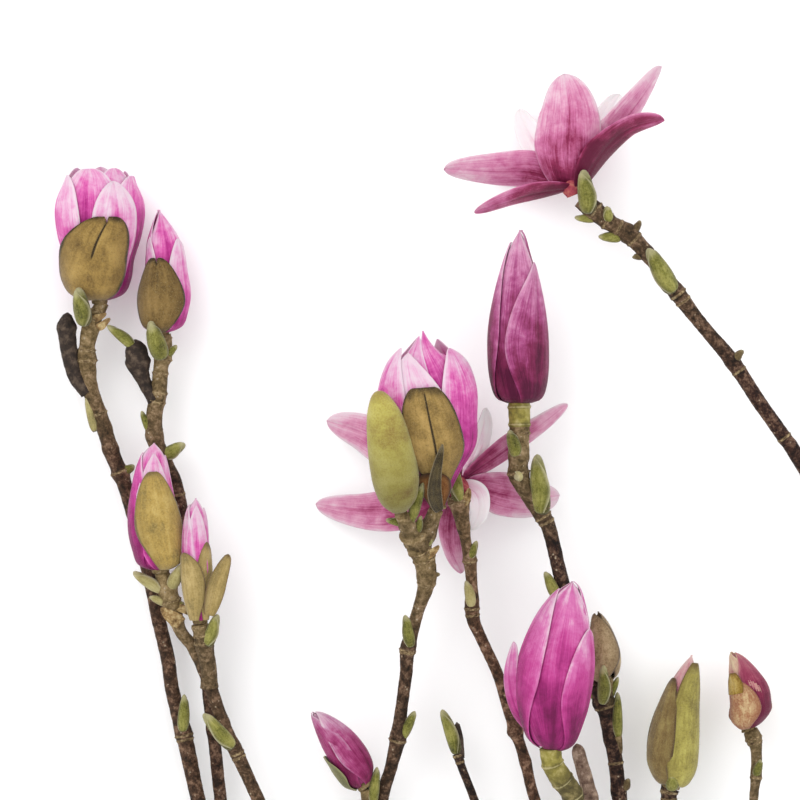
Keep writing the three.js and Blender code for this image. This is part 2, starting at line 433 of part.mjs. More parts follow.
// A blade that lies round a bud. Below the heart's top its inner face is sunk into the heart.
function wrap(form, item, thickness, across, grow, sunk) {
  const axis = axisOf(form);
  const front = [];
  const back = [];
  const stretch = grow / axis.length;
  for (const t of BLADE_ROWS) {
    const share = mix(item.start, item.end, t ** 0.85);
    const girth = girthAt(form, share);
    const radius = Math.max(girth + item.lift + item.flare * t ** 2, CLEARANCE);
    const widest = radians(item.reach) * bladeWidth(t, item.point, item.root, item.top);
    const halfAngle = Math.max(widest, TIP_HALF_WIDTH / radius) + grow / radius;
    const middle = radians(item.turn + item.twist * t + item.skew * t ** 3);
    const outer = radius + thickness / 2 + grow;
    const thin = Math.max(radius - thickness / 2 - grow, 0.3);
    const inner = sunk && share < form.heart ? Math.min(thin, girth * SINK) : thin;
    const row = (r) => Array.from({ length: across + 1 }, (_, j) => {
      const u = 2 * j / across - 1;
      const cut = Math.abs(u) < NOTCH_REACH ? item.notch * t ** 3 : 0;
      return axis.point(share + mix(-stretch, stretch, t) - cut, middle + halfAngle * u, r);
    });
    front.push(row(outer));
    back.push(row(inner));
  }
  return sheet(front, back);
}

// A blade on a spine of its own.
function blade({ spine, facing, half, cup, point }, thickness, grow = 0) {
  const curve = new THREE.CatmullRomCurve3(spine.map(vec));
  const bend = radians(cup);
  const front = [];
  const back = [];
  for (let i = 0; i <= SPINE_CELLS; i += 1) {
    const t = i / SPINE_CELLS;
    const tangent = curve.getTangent(t);
    const side = new THREE.Vector3().crossVectors(tangent, vec(facing)).normalize();
    const face = new THREE.Vector3().crossVectors(side, tangent).normalize();
    const middle = curve.getPoint(t).addScaledVector(tangent, mix(-grow, grow, t));
    const width = Math.max(half * bladeWidth(t, point, CLAW_ROOT), TIP_HALF_WIDTH) + grow;
    const round = width / bend;
    const row = (offset) => Array.from({ length: BLADE_ACROSS + 1 }, (_, j) => {
      const angle = bend * (j / BLADE_ACROSS - 0.5);
      const radius = 2 * round;
      return middle.clone().addScaledVector(side, Math.sin(angle) * (radius - offset))
        .addScaledVector(face, radius - Math.cos(angle) * (radius - offset));
    });
    front.push(row(thickness / 2 + grow));
    back.push(row(-thickness / 2 - grow));
  }
  return sheet(front, back);
}

// A twig through points with a radius each.
function twig(route, sides, grow = 0) {
  const curve = new THREE.CatmullRomCurve3(route.map(vec), false, 'centripetal');
  const radii = route.map((p) => p[3]);
  const steps = Math.max(2, Math.round(curve.getLength() / RING_STEP));
  const frames = curve.computeFrenetFrames(steps, false);
  const loops = [];
  for (let i = 0; i <= steps; i += 1) {
    const t = curve.getUtoTmapping(i / steps);
    const middle = curve.getPoint(t).addScaledVector(frames.tangents[i], mix(-grow, grow, i / steps));
    const radius = along(radii, t) + grow;
    loops.push(Array.from({ length: sides }, (_, j) => {
      const angle = (j / sides) * 2 * Math.PI;
      return middle.clone().addScaledVector(frames.normals[i], Math.cos(angle) * radius)
        .addScaledVector(frames.binormals[i], Math.sin(angle) * radius);
    }));
  }
  return loft(loops);
}

const sideBud = ([root, tip, radius], grow) => spindle(
  { root, tip, girth: [0.85, 1, 0.2].map((s) => s * radius) }, { sides: BUD_SIDES, rings: 2, grow });

// ---------------------------------------------------------------- joins and cuts

const join = (pieces) => pieces.reduce((whole, piece) => whole.add(piece));

// The largest body of a result; a scrap or a sealed hollow is a body of its own and is dropped.
function largest(result) {
  const bodies = result.decompose();
  return bodies.reduce((best, body) => (body.volume() > best.volume() ? body : best));
}

function closedBloom(form, grow) {
  const top = form.heart;
  const heart = spindle(form, { sides: HEART_SIDES, rings: HEART_RINGS, grow, top, share: HEART });
  const wraps = form.tepals.map((tepal) => wrap(form, tepal, TEPAL, BLADE_ACROSS, grow, true));
  const loose = (form.loose ?? []).map((item) => blade(item, TEPAL, grow));
  return join([heart, ...wraps, ...loose]);
}

function openBloom(form, grow) {
  const heart = spindle(form.heart, { sides: HEART_SIDES, rings: HEART_RINGS, grow });
  return join([heart, ...form.tepals.map((tepal) => blade(tepal, TEPAL, grow))]);
}

const perule = (form, item, grow) => wrap(form, item, PERULE, SCALE_ACROSS, grow, false);

function woodOf(grow) {
  const twigs = Object.values(TWIGS).map((route) => twig(route, TWIG_SIDES, grow));
  const whole = join([twig(LIMB, LIMB_SIDES, grow), ...twigs, ...SIDE_BUDS.map((bud) => sideBud(bud, grow))]);
  const below = new THREE.BoxGeometry(700, 700, 20).translate(0, -100, -10);
  below.deleteAttribute('normal');
  below.deleteAttribute('uv');
  return whole.subtract(manifoldOf(mergeVertices(below)));
}

// Each part is [name, make, material]; a part keeps GAP clear of every part that comes before it.
const parts = [];
const PERULE_COLOURS = { A: BROWN_FUR, B: BROWN_FUR, C1: BROWN_FUR, C2: BROWN_FUR, D: BROWN_FUR,
  I: GREEN_FUR, J: GREEN_FUR, K: CREAM };
for (const [name, material] of Object.entries(PERULE_COLOURS)) {
  BLOOMS[name].perules.forEach((item, i) => {
    parts.push([`perule_${name}_${i + 1}`, (grow) => perule(BLOOMS[name], item, grow), material]);
  });
}
parts.push(['green_bud_D', (grow) => spindle(GREEN_BUD_D, { sides: LIMB_SIDES, rings: 6, grow }), GREEN_FUR]);
parts.push(['open_scale_C2', (grow) => blade(OPEN_SCALE_C2, PERULE, grow), BROWN_FUR]);
parts.push(['inner_scale_D', (grow) => blade(INNER_SCALE_D, PERULE, grow), BROWN_FUR]);
const TEPAL_COLOURS = { A: PINK, B: PINK, C1: PINK, C2: PINK, D: PINK, F: DUSTY_PINK, F2: BROWN_FUR,
  G: MAGENTA, I: MAGENTA, J: PINK, K: MAGENTA };
for (const [name, material] of Object.entries(TEPAL_COLOURS)) {
  parts.push([`tepals_${name}`, (grow) => closedBloom(BLOOMS[name], grow), material]);
}
parts.push(['tepals_L', (grow) => openBloom(OPEN_BLOOMS.L, grow), DUSTY_PINK]);
parts.push(['neck_F', (grow) => twig(NECK_F, LIMB_SIDES, grow), NECK_GREEN]);
parts.push(['neck_G', (grow) => twig(NECK_G, LIMB_SIDES, grow), NECK_GREEN]);
parts.push(['wood', woodOf, BARK]);
parts.push(['tepals_E', (grow) => openBloom(OPEN_BLOOMS.E, grow), DUSTY_PINK]);

const branch = new THREE.Group();
const guards = [];
const meet = (a, b) => [0, 1, 2].every((k) => a.min[k] < b.max[k] && b.min[k] < a.max[k]);

for (const [name, make, material] of parts) {
  let body = largest(make(0));
  for (const guard of guards) {
    if (meet(guard.boundingBox(), body.boundingBox())) body = body.subtract(guard);
  }
  guards.push(largest(make(GAP)));
  const { vertProperties, triVerts } = largest(body).getMesh();
  const geometry = new THREE.BufferGeometry();
  geometry.setAttribute('position', new THREE.BufferAttribute(vertProperties, 3));
  geometry.setIndex(new THREE.BufferAttribute(triVerts, 1));
  geometry.computeVertexNormals();
  const mesh = new THREE.Mesh(geometry, material);
  mesh.name = name;
  branch.add(mesh);
}

branch.position.set(-ORIGIN[0], -ORIGIN[1], -ORIGIN[2]);

export default branch;
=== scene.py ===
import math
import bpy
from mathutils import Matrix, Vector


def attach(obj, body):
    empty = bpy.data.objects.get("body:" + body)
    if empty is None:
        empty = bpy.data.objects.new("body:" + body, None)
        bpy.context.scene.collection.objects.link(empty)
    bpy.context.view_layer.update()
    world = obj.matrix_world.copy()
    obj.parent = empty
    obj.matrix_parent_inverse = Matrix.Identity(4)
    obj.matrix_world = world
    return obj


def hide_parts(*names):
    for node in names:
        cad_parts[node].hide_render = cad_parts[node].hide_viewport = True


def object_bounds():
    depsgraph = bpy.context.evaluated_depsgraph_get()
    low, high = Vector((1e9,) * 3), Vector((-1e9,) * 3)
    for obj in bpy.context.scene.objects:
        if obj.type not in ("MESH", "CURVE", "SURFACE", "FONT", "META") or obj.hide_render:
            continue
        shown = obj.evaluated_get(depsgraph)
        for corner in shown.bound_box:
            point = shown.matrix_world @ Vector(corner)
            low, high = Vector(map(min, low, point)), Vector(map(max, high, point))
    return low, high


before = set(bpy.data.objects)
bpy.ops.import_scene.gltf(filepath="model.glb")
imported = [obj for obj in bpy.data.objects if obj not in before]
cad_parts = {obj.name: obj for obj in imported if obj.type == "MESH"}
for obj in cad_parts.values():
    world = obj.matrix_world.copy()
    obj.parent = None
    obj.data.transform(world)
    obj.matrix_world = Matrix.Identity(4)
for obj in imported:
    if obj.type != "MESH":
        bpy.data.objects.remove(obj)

# A cut saucer magnolia branch that lies on a pale surface and is seen from straight above.
# Places are in millimetres in the same drawing frame as the solids: x to the right, y up the picture,
# z towards the camera, floor at z = 0. ORIGIN moves them into the part's own frame.

from types import SimpleNamespace

import bpy
import numpy as np

cad_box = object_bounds()

# ------------------------------------------------------------------ driving dimensions

ORIGIN = np.array([39.8, -116.6, 0.0])
MM = 0.001
VIEW_WIDTH = 400.0  # how much of the branch the picture shows, across
VIEW_HEIGHT = 40.0  # height of the plane that fills the picture exactly
LENS = 300.0
SENSOR = 36.0
FLOOR = 30.0  # half a side of the floor, in metres
SKY_STRENGTH = 1.25
LAMPS = [("key", (-0.9, 1.1, 1.8), 1.2, 13.0), ("fill", (1.3, -0.4, 1.6), 1.8, 3.5)]  # place, size, watts
DEEPEN = 0.7  # the codes are colours as seen in bright light, so the surfaces are a little darker
TEPAL = 0.6  # thickness
SCALE = 0.8  # thickness of a furry bud scale
BUD_SCALE = 0.3  # and of a side bud's
LEAST_HALF = 0.35  # half the width of a blade's narrowest row
WRAP_ROOT = 0.5  # share of its width that a blade round a bud has at its root
CLAW_ROOT = 0.3  # and a blade on a spine of its own
BLADE_WAVE = 0.5
BLADE_KEEL = 0.3
DOME = 16  # the higher, the blunter a closed tip
TWIG_STEP = 1.1
TWIG_SIDES = 20
SCAR_WIDTH, SCAR_SWELL = 0.75, 0.11
NODE_WIDTH, NODE_SWELL = 3.0, 0.13
FLARE_LENGTH = 4.0  # how far a twig's foot takes to narrow
BUD_HAIR = (3.0, 0.45, 0.035)  # density, length and width of the hairs on a side bud
HAIR_OUT, HAIR_ALONG, HAIR_STRAY = 0.55, 0.75, 0.22  # how far a hair stands out, leans and strays
KNOBS, GRAIN = 0.035, 0.03  # how far a twig's knobs and its grain change its radius
YOUNG_FROM, YOUNG_OVER = 0.76, 0.2  # where a twig's young end begins, and how gradually
ROWS, COLUMNS, SEAM_COLUMNS = 44, 25, 41  # of a blade's grid
CUT_PROFILE = [(0.93, -0.6), (0.93, 0.25), (0.744, 0.4), (0.372, 0.5), (0.093, 0.5)]  # of radius, height
COLLAR_PROFILE = [(-0.7, -0.05), (-0.35, 0.02), (0.3, 0.1), (0.5, 0.05), (0.1, -0.05)]  # height, reach
SIDE_BUD_GIRTH = (0.5, 0.84, 0.98, 1.0, 0.92, 0.74, 0.5)  # shares of the radius, from root to tip
TETRAHEDRON = [[0, 1, 3], [1, 2, 3], [2, 0, 3], [0, 2, 1]]
# Each kind of piece has its own seeds: the first of a kind, and how many a twig or a bloom may use.
TWIG_SEED, NECK_SEED, BUD_SEED, OPEN_SEED, COLLAR_SEED = 100, 300, 500, 700, 900
BUD_HAIR_SEED, SCALE_SEED, HAIR_SEED, TINT_SEED = 1500, 2000, 3000, 5000
SCAR_SEEDS, BLOOM_SEEDS = 20, 40
# Pieces that lie outside the blooms' own rows have one each, and the bracts one after another.
LOOSE_TEPAL_SEED, LOOSE_SCALE_SEED, LOOSE_HAIR_SEED = 801, 810, 820
RUST_SEED, TORN_SEED, GREEN_HAIR_SEED, BRACT_SEED = 830, 835, 840, 850
rng = np.random.default_rng(11)

# ------------------------------------------------------------------ twigs: [x, y, z, radius]

TWIGS = {
    "limb": [[115, -400, 8, 9], [120, -360, 8, 8.6], [121, -330, 12, 7.8], [121.5, -300, 17, 6.8],
        [122.5, -274, 20, 5.6]],
    "leftLimb": [[120, -357, 10, 6], [80, -355, 12, 6], [45, -347.5, 14, 5.6], [12.5, -332.5, 16, 5.2],
        [-24, -305, 17, 4.8], [-50, -288, 17, 4.5], [-75, -275, 16, 4.2]],
    "twigA": [[-75, -275, 16, 4], [-86, -250, 16, 3.8], [-95.5, -225, 15, 3.7], [-102, -200, 15, 3.7],
        [-108.5, -170, 15, 4.1], [-114.5, -147, 15, 3.6], [-117, -130, 15, 3.6], [-121.5, -111, 15, 3.6],
        [-124.5, -95.5, 16, 3.7], [-130, -72.5, 16, 3.7], [-139, -41.5, 18, 3.7], [-145, -26.5, 19, 3.9],
        [-150, -10, 20, 3.7], [-156, 6.5, 21, 4.2], [-157.5, 23, 22, 4], [-156, 34, 23, 3.7],
        [-153, 42, 23, 3.6], [-149.5, 49, 22, 3.4]],
    "stubA": [[-157, 4, 21, 3.2], [-163, 12, 22, 3.9], [-166.5, 26, 22, 4.4], [-167.5, 37, 23, 4.2],
        [-167, 44, 23, 2.6]],
    "twigB": [[-75, -275, 16, 4], [-81.5, -250, 16, 3.5], [-87, -225, 15, 3.2], [-90.5, -200, 15, 3.2],
        [-93.7, -170, 15, 3.2], [-96, -152, 15, 3.2], [-98.5, -125, 15, 3.2], [-100.5, -110, 15, 3.2],
        [-105, -80, 16, 3.3], [-111, -50, 18, 3.3], [-113.5, -40, 19, 3.4], [-117.5, -32.5, 20, 3.6],
        [-123, -20, 21, 4.2], [-123.5, -7, 21, 4.2], [-121.5, 2.5, 22, 4.2], [-120, 17.5, 23, 3.7],
        [-118, 26, 24, 3.6], [-118.5, 33, 24, 3.4]],
    "stubB": [[-123, 0, 22, 3.2], [-128, 8, 22, 3.4], [-131, 16, 23, 4.6], [-132.5, 25, 24, 5],
        [-133, 30.5, 24, 3]],
    "twigC": [[-24, -305, 17, 4.4], [-36, -275, 18, 3.8], [-50, -245, 20, 3.4], [-61.5, -222, 22, 3.3],
        [-71.5, -200, 25, 3.2], [-81, -179, 28, 3.4], [-89, -161, 31, 3.2], [-95, -143.5, 33, 3.4],
        [-98, -136, 33, 3.3], [-103, -124.5, 34, 3.2], [-110, -115.5, 34.5, 3.2], [-114, -102.5, 35, 4.1],
        [-117, -93, 36, 4.2], [-119.5, -86, 36, 3.6]],
    "twigC2": [[-95.5, -144, 33, 3.6], [-96, -134, 35, 4.1], [-98, -122.5, 38, 4.3], [-100.3, -112, 40, 4]],
    "twigD": [[12.5, -332.5, 16, 4.6], [6, -315, 18, 4], [-2.5, -280, 18, 3.6], [-10, -250, 19, 3.4],
        [-12, -225, 20, 3.4], [-9, -200, 22, 3.4], [-4.5, -184.5, 24, 3.2], [-1, -169.5, 27, 3.9],
        [0.5, -156.5, 29, 3.2], [3, -137.5, 32, 3.2], [4, -124.5, 34, 3.6], [9, -105.5, 38, 3.1],
        [13, -92.5, 43, 4.2], [12.5, -81, 47, 5.4], [9, -72.5, 51, 5.4], [6.5, -66, 56, 4.6]],
    "peduncleD1": [[8, -70, 53, 4.2], [3.5, -62, 60, 3.6], [0.5, -56.5, 66, 3.4]],
    "peduncleD": [[9, -74, 51, 4.4], [14, -64, 54, 4], [18, -54.5, 57, 3.6]],
    "twigI": [[-11.5, -220, 20.5, 3], [-15, -205, 25, 3.2], [-17, -195, 28, 3.4]],
    "twigE": [[122, -320, 14, 4], [112, -305, 18, 3.8], [99, -280, 18, 3.4], [87.5, -250, 18, 3.1],
        [77.5, -225, 18, 2.9], [67.5, -200, 19, 2.8], [62.5, -180, 20, 2.8], [55, -157.5, 22, 2.8],
        [49, -137.5, 25, 2.8], [40, -118, 28, 2.9], [36.5, -108.5, 29, 3.4], [36, -92.5, 31, 2.9],
        [35, -80, 33, 3.2], [33.5, -73.5, 34, 2.8], [32, -65, 37, 3], [30, -54, 40, 4.6], [29, -48, 40, 5]],
    "twigH": [[99, -280, 18, 2.8], [70, -262, 18, 2.6], [55, -245, 18, 2.4], [45, -222.5, 18.5, 2.2],
        [37, -200, 19, 2.1], [31, -184.5, 20, 2.1], [29, -178, 20, 2.4]],
    "stubH": [[30, -180, 20, 1.8], [30, -171, 20, 1.9], [28.5, -162, 20.5, 1.3]],
    "stumpM": [[120, -267.5, 21, 4], [106, -245, 24, 3.8], [100, -225, 26, 3.7], [95.7, -200, 27, 3.7],
        [91, -182.5, 28, 3.7], [88.5, -172.5, 30, 3.8]],
    "twigG": [[101, -228, 26, 3.6], [96, -217, 34, 3.8], [91, -207, 42, 4.2], [86, -197, 48, 4.4]],
    "twigF": [[121.5, -275, 20, 4.6], [119, -250, 21, 4], [115, -225, 23, 3.8], [110.3, -200, 25, 3.7],
        [108, -180, 26, 3.7], [104.5, -163.5, 27, 3.7], [102, -151.5, 28, 4.2], [90, -120, 30, 3.6],
        [81, -90, 32, 3.6], [77, -73.5, 34, 3.6], [73.5, -61.5, 36, 3.8], [65.5, -49.5, 38, 4],
        [59.5, -37.5, 39, 4.8], [59.5, -25, 40, 5], [59.8, -11, 40, 5.2]],
    "twigF2": [[102.5, -152.5, 28, 3], [103, -146, 31, 3.4], [103, -141.5, 33, 3.4]],
    "sideF": [[108.5, -181, 26, 1.8], [110, -175, 27, 1.7], [109, -168.5, 28.5, 2]],
    "twigJ": [[122, -295, 18, 3.8], [125, -282, 20, 3.6], [132, -250, 21, 3.6], [135, -225, 23, 3.6],
        [135, -200, 25, 3.8], [135.8, -195, 25, 4.3]],
    "twigK": [[121.5, -318, 15, 3.2], [137.5, -300, 20, 3], [157.5, -277.5, 20, 2.7], [171, -250, 21, 2.4],
        [176.5, -225, 22, 2.2], [177.8, -200, 23, 2.1], [179, -188, 23, 2.7], [179, -176, 24, 2.9],
        [177.5, -169.5, 24, 4.2], [176, -166, 24, 3.6]],
    "twigL": [[121, -345, 12, 5], [165, -312.5, 12, 4.6], [206, -280, 9.5, 4.3], [235, -240, 5.5, 4.1],
        [247.5, -190, 4.3, 4], [246.5, -140, 4.3, 3.9], [230, -80, 9, 3.8], [200, -28.5, 17, 3.7],
        [193.5, -19, 18, 3.6], [180, 0, 20, 3.6], [167, 19.5, 22, 3.7], [151, 38.5, 24, 3.4],
        [140.5, 52, 26, 4], [130, 66, 28, 3.5], [116, 82, 30, 4.2], [105, 89, 31, 3.9], [96, 96, 31, 4.4],
        [90, 100.5, 31, 4.2]],
}

# Share of young tan bark at a twig's root and at its tip, and its share of red bark.
TWIG_TINT = {
    "twigA": (0.08, 0.75, 0.5), "twigB": (0.04, 0.7, 0.4), "twigC": (0.14, 0.85, 0.4),
    "twigC2": (0.3, 0.8, 0.2), "twigD": (0.08, 0.75, 0.3), "peduncleD1": (0.5, 0.9, 0),
    "peduncleD": (0.4, 0.8, 0.1), "twigI": (0.2, 0.9, 0), "twigE": (0.1, 0.4, 0.9), "twigG": (0.2, 0.8, 0),
    "twigF": (0, 0.6, 0.2), "twigF2": (0.3, 0.8, 0), "sideF": (0.3, 0.9, 0), "twigK": (0.25, 0.5, 0),
    "twigL": (0, 0.2, 0.35),
}

# Ring scars, where a bud's scales fell: points close to the twig that carries them.
RING_SCARS = {
    "twigA": [(-158, 25), (-157, 20), (-154, 40), (-152, 44), (-108, -169), (-108.7, -171.5), (-151, -7),
        (-142, -36)],
    "twigB": [(-120, 21), (-121, 13), (-121.5, 4), (-123, 0), (-117, 31), (-111.5, -48)],
    "twigC": [(-115.5, -101), (-114, -107), (-112.5, -112), (-82.5, -178), (-84, -181)],
    "twigC2": [(-99.5, -113), (-98.7, -117), (-97.7, -121)],
    "twigD": [(10, -75), (13, -79), (5, -125), (5, -127), (-0.5, -171), (12, -91)],
    "twigE": [(28.5, -49), (29, -51.5), (36.5, -105), (36, -107.5), (35, -81)],
    "twigF": [(59.6, -16), (59.5, -36), (74, -61), (71, -58), (108, -182), (102, -154)],
    "twigG": [(87, -199), (89, -203)],
    "twigH": [(30, -179), (30.5, -182)],
    "twigJ": [(135.6, -197), (135.2, -200)],
    "twigK": [(178.5, -170), (178.3, -172), (179, -190)],
    "twigL": [(98, 94), (104, 90), (110, 86), (118, 81), (140, 53), (142, 50), (170, 15), (193.5, -19)],
}

# ------------------------------------------------------------------ small side buds
# Each row is the root, the tip and the radius. The kinds go by number, and the others are green.

SIDE_BUDS = [
    (-158, 38, 27, -161, 56, 39, 4.6), (-154.5, 36, 23, -149, 39, 24, 1.8),
    (-153.5, -16, 21, -158, 2, 22, 2), (-141.5, -37, 19, -133.5, -33, 20, 2.6),
    (-109.5, -167, 18, -108.5, -148, 21, 2.9), (-119.5, 21, 26, -125, 39.5, 36, 4.6),
    (-117.5, 22, 25, -112, 27.5, 26, 2), (-124, -18, 21, -130, -5.5, 22, 2.2),
    (-119, -29, 20, -108, -22, 23, 3.6), (-132.5, 26, 25, -147, 37.5, 27, 2.8),
    (-131, 17, 23, -138, 22.5, 24, 1.8), (-118.5, -95, 37, -133.5, -86, 39, 3.2),
    (-115, -94, 38, -109.5, -82.5, 43, 3.2), (-117, -102, 35, -125.5, -98.5, 36, 2),
    (-113, -104, 36, -108, -101.5, 37, 1.9), (-96, -123, 41, -91, -107, 43, 3.4),
    (-84, -174.5, 31, -98.5, -157, 36, 3.9), (3, -61, 60, -7, -59.5, 62, 2.2),
    (5, -61, 61, 11.5, -41, 69, 2.6), (9, -66, 57, 10.5, -57.5, 62, 1.8),
    (13, -66, 55, 18.5, -59.5, 57, 1.8), (13, -72, 53, 16.5, -68, 56, 1.9),
    (5, -124, 36, 2.5, -107.5, 39, 3), (1, -169.5, 28, 7.5, -156, 30, 2.7), (14, -88, 45, 20, -87, 45, 1.7),
    (-14, -203, 28, -11.5, -184, 31, 2.7), (29, -51, 44, 27, -32, 45, 3.4),
    (35, -80, 34, 38.5, -70.5, 36, 2.2), (36, -104, 31, 33, -90.5, 34, 2.7),
    (29, -178, 21, 21, -155.5, 24, 3.5), (58.5, -28, 43, 54.5, -15, 45, 3.4),
    (59.5, -38, 43, 58, -39, 45.5, 2.6), (71.5, -57, 39, 68.5, -27, 43, 5.2),
    (79, -100, 33, 72.5, -86, 33, 3), (102, -152, 32, 101.5, -132.5, 44, 3.3),
    (104, -151, 29, 109.5, -139, 28, 2), (109, -170, 28, 109, -146.5, 30, 2.7),
    (100, -151, 27, 94, -145, 27, 1.8), (112, -196, 26, 115, -190, 27, 2.2),
    (136.5, -195, 28.5, 136, -186.5, 35, 3.6), (178.5, -189, 24, 181, -180.5, 26, 2.2),
    (95, 94, 34, 91.5, 115, 43, 4.8), (98, 91, 31, 87.5, 91.5, 31, 2.2), (104, 89, 33, 103.5, 97, 36, 2.6),
    (111, 81.5, 30, 99.5, 82, 30, 2.6), (117, 84, 31, 120.5, 90, 31, 1.9),
    (124, 73, 29, 116.5, 71.5, 29, 2), (137, 54, 29, 124, 76, 34, 4.9), (167.5, 19, 23, 172.5, 25, 24, 2.3),
    (230, -80, 12, 240, -62, 15, 3), (247, -150, 5, 237, -134, 7, 3), (238, -235, 6, 248, -219, 8, 3),
    (170, -310, 12, 170, -292, 15, 3), (-12, -228, 21, -3, -214, 24, 2.6),
    (-62, -222, 23, -57, -206, 27, 2.6), (-90, -240, 17, -100, -226, 19, 2.6),
    (60, -351, 14, 52, -334, 17, 3.2), (87, -248, 19, 93, -234, 22, 2.4),
    (132, -250, 22, 140, -236, 25, 2.6), (-38, -270, 19, -46, -257, 23, 2.6),
]
BUD_KINDS = {2: "brown", 3: "pale", 11: "brown", 12: "pale", 13: "pale", 14: "pale", 25: "brown",
    29: "pale", 32: "pale", 39: "brown", 46: "brown", 47: "brown", 49: "brown"}

# ------------------------------------------------------------------ buds and flowers
# root and tip are the ends of the axis and bow bends its middle. girth is the radius from root to tip,
# at equal steps of share ** ease, so a small ease gives a full, rounded base. depth flattens the form
# towards the viewer, and a blunt form closes in a rounded tip.


def tepal(turn, reach, end=1.0, lift=0.0, point=3.0, shade=0.0, start=0.0, flare=0.0, top=0.0, notch=0.0,
          tilt=0.4, edge=0.15, wave=0.25, keel=0.2, twist=0.0, skew=0.0, seam=None, root=WRAP_ROOT):
    """A blade that lies round a bud: turn and reach in degrees (0 faces up, 90 faces +X)."""
    return SimpleNamespace(**locals())


def blade(spine, facing, half, cup, point=2.6, inner_up=False, shade=0.0, claw=CLAW_ROOT):
    """A blade on a spine of its own; facing is the side it turns up, cup how its section bends."""
    return SimpleNamespace(**locals())


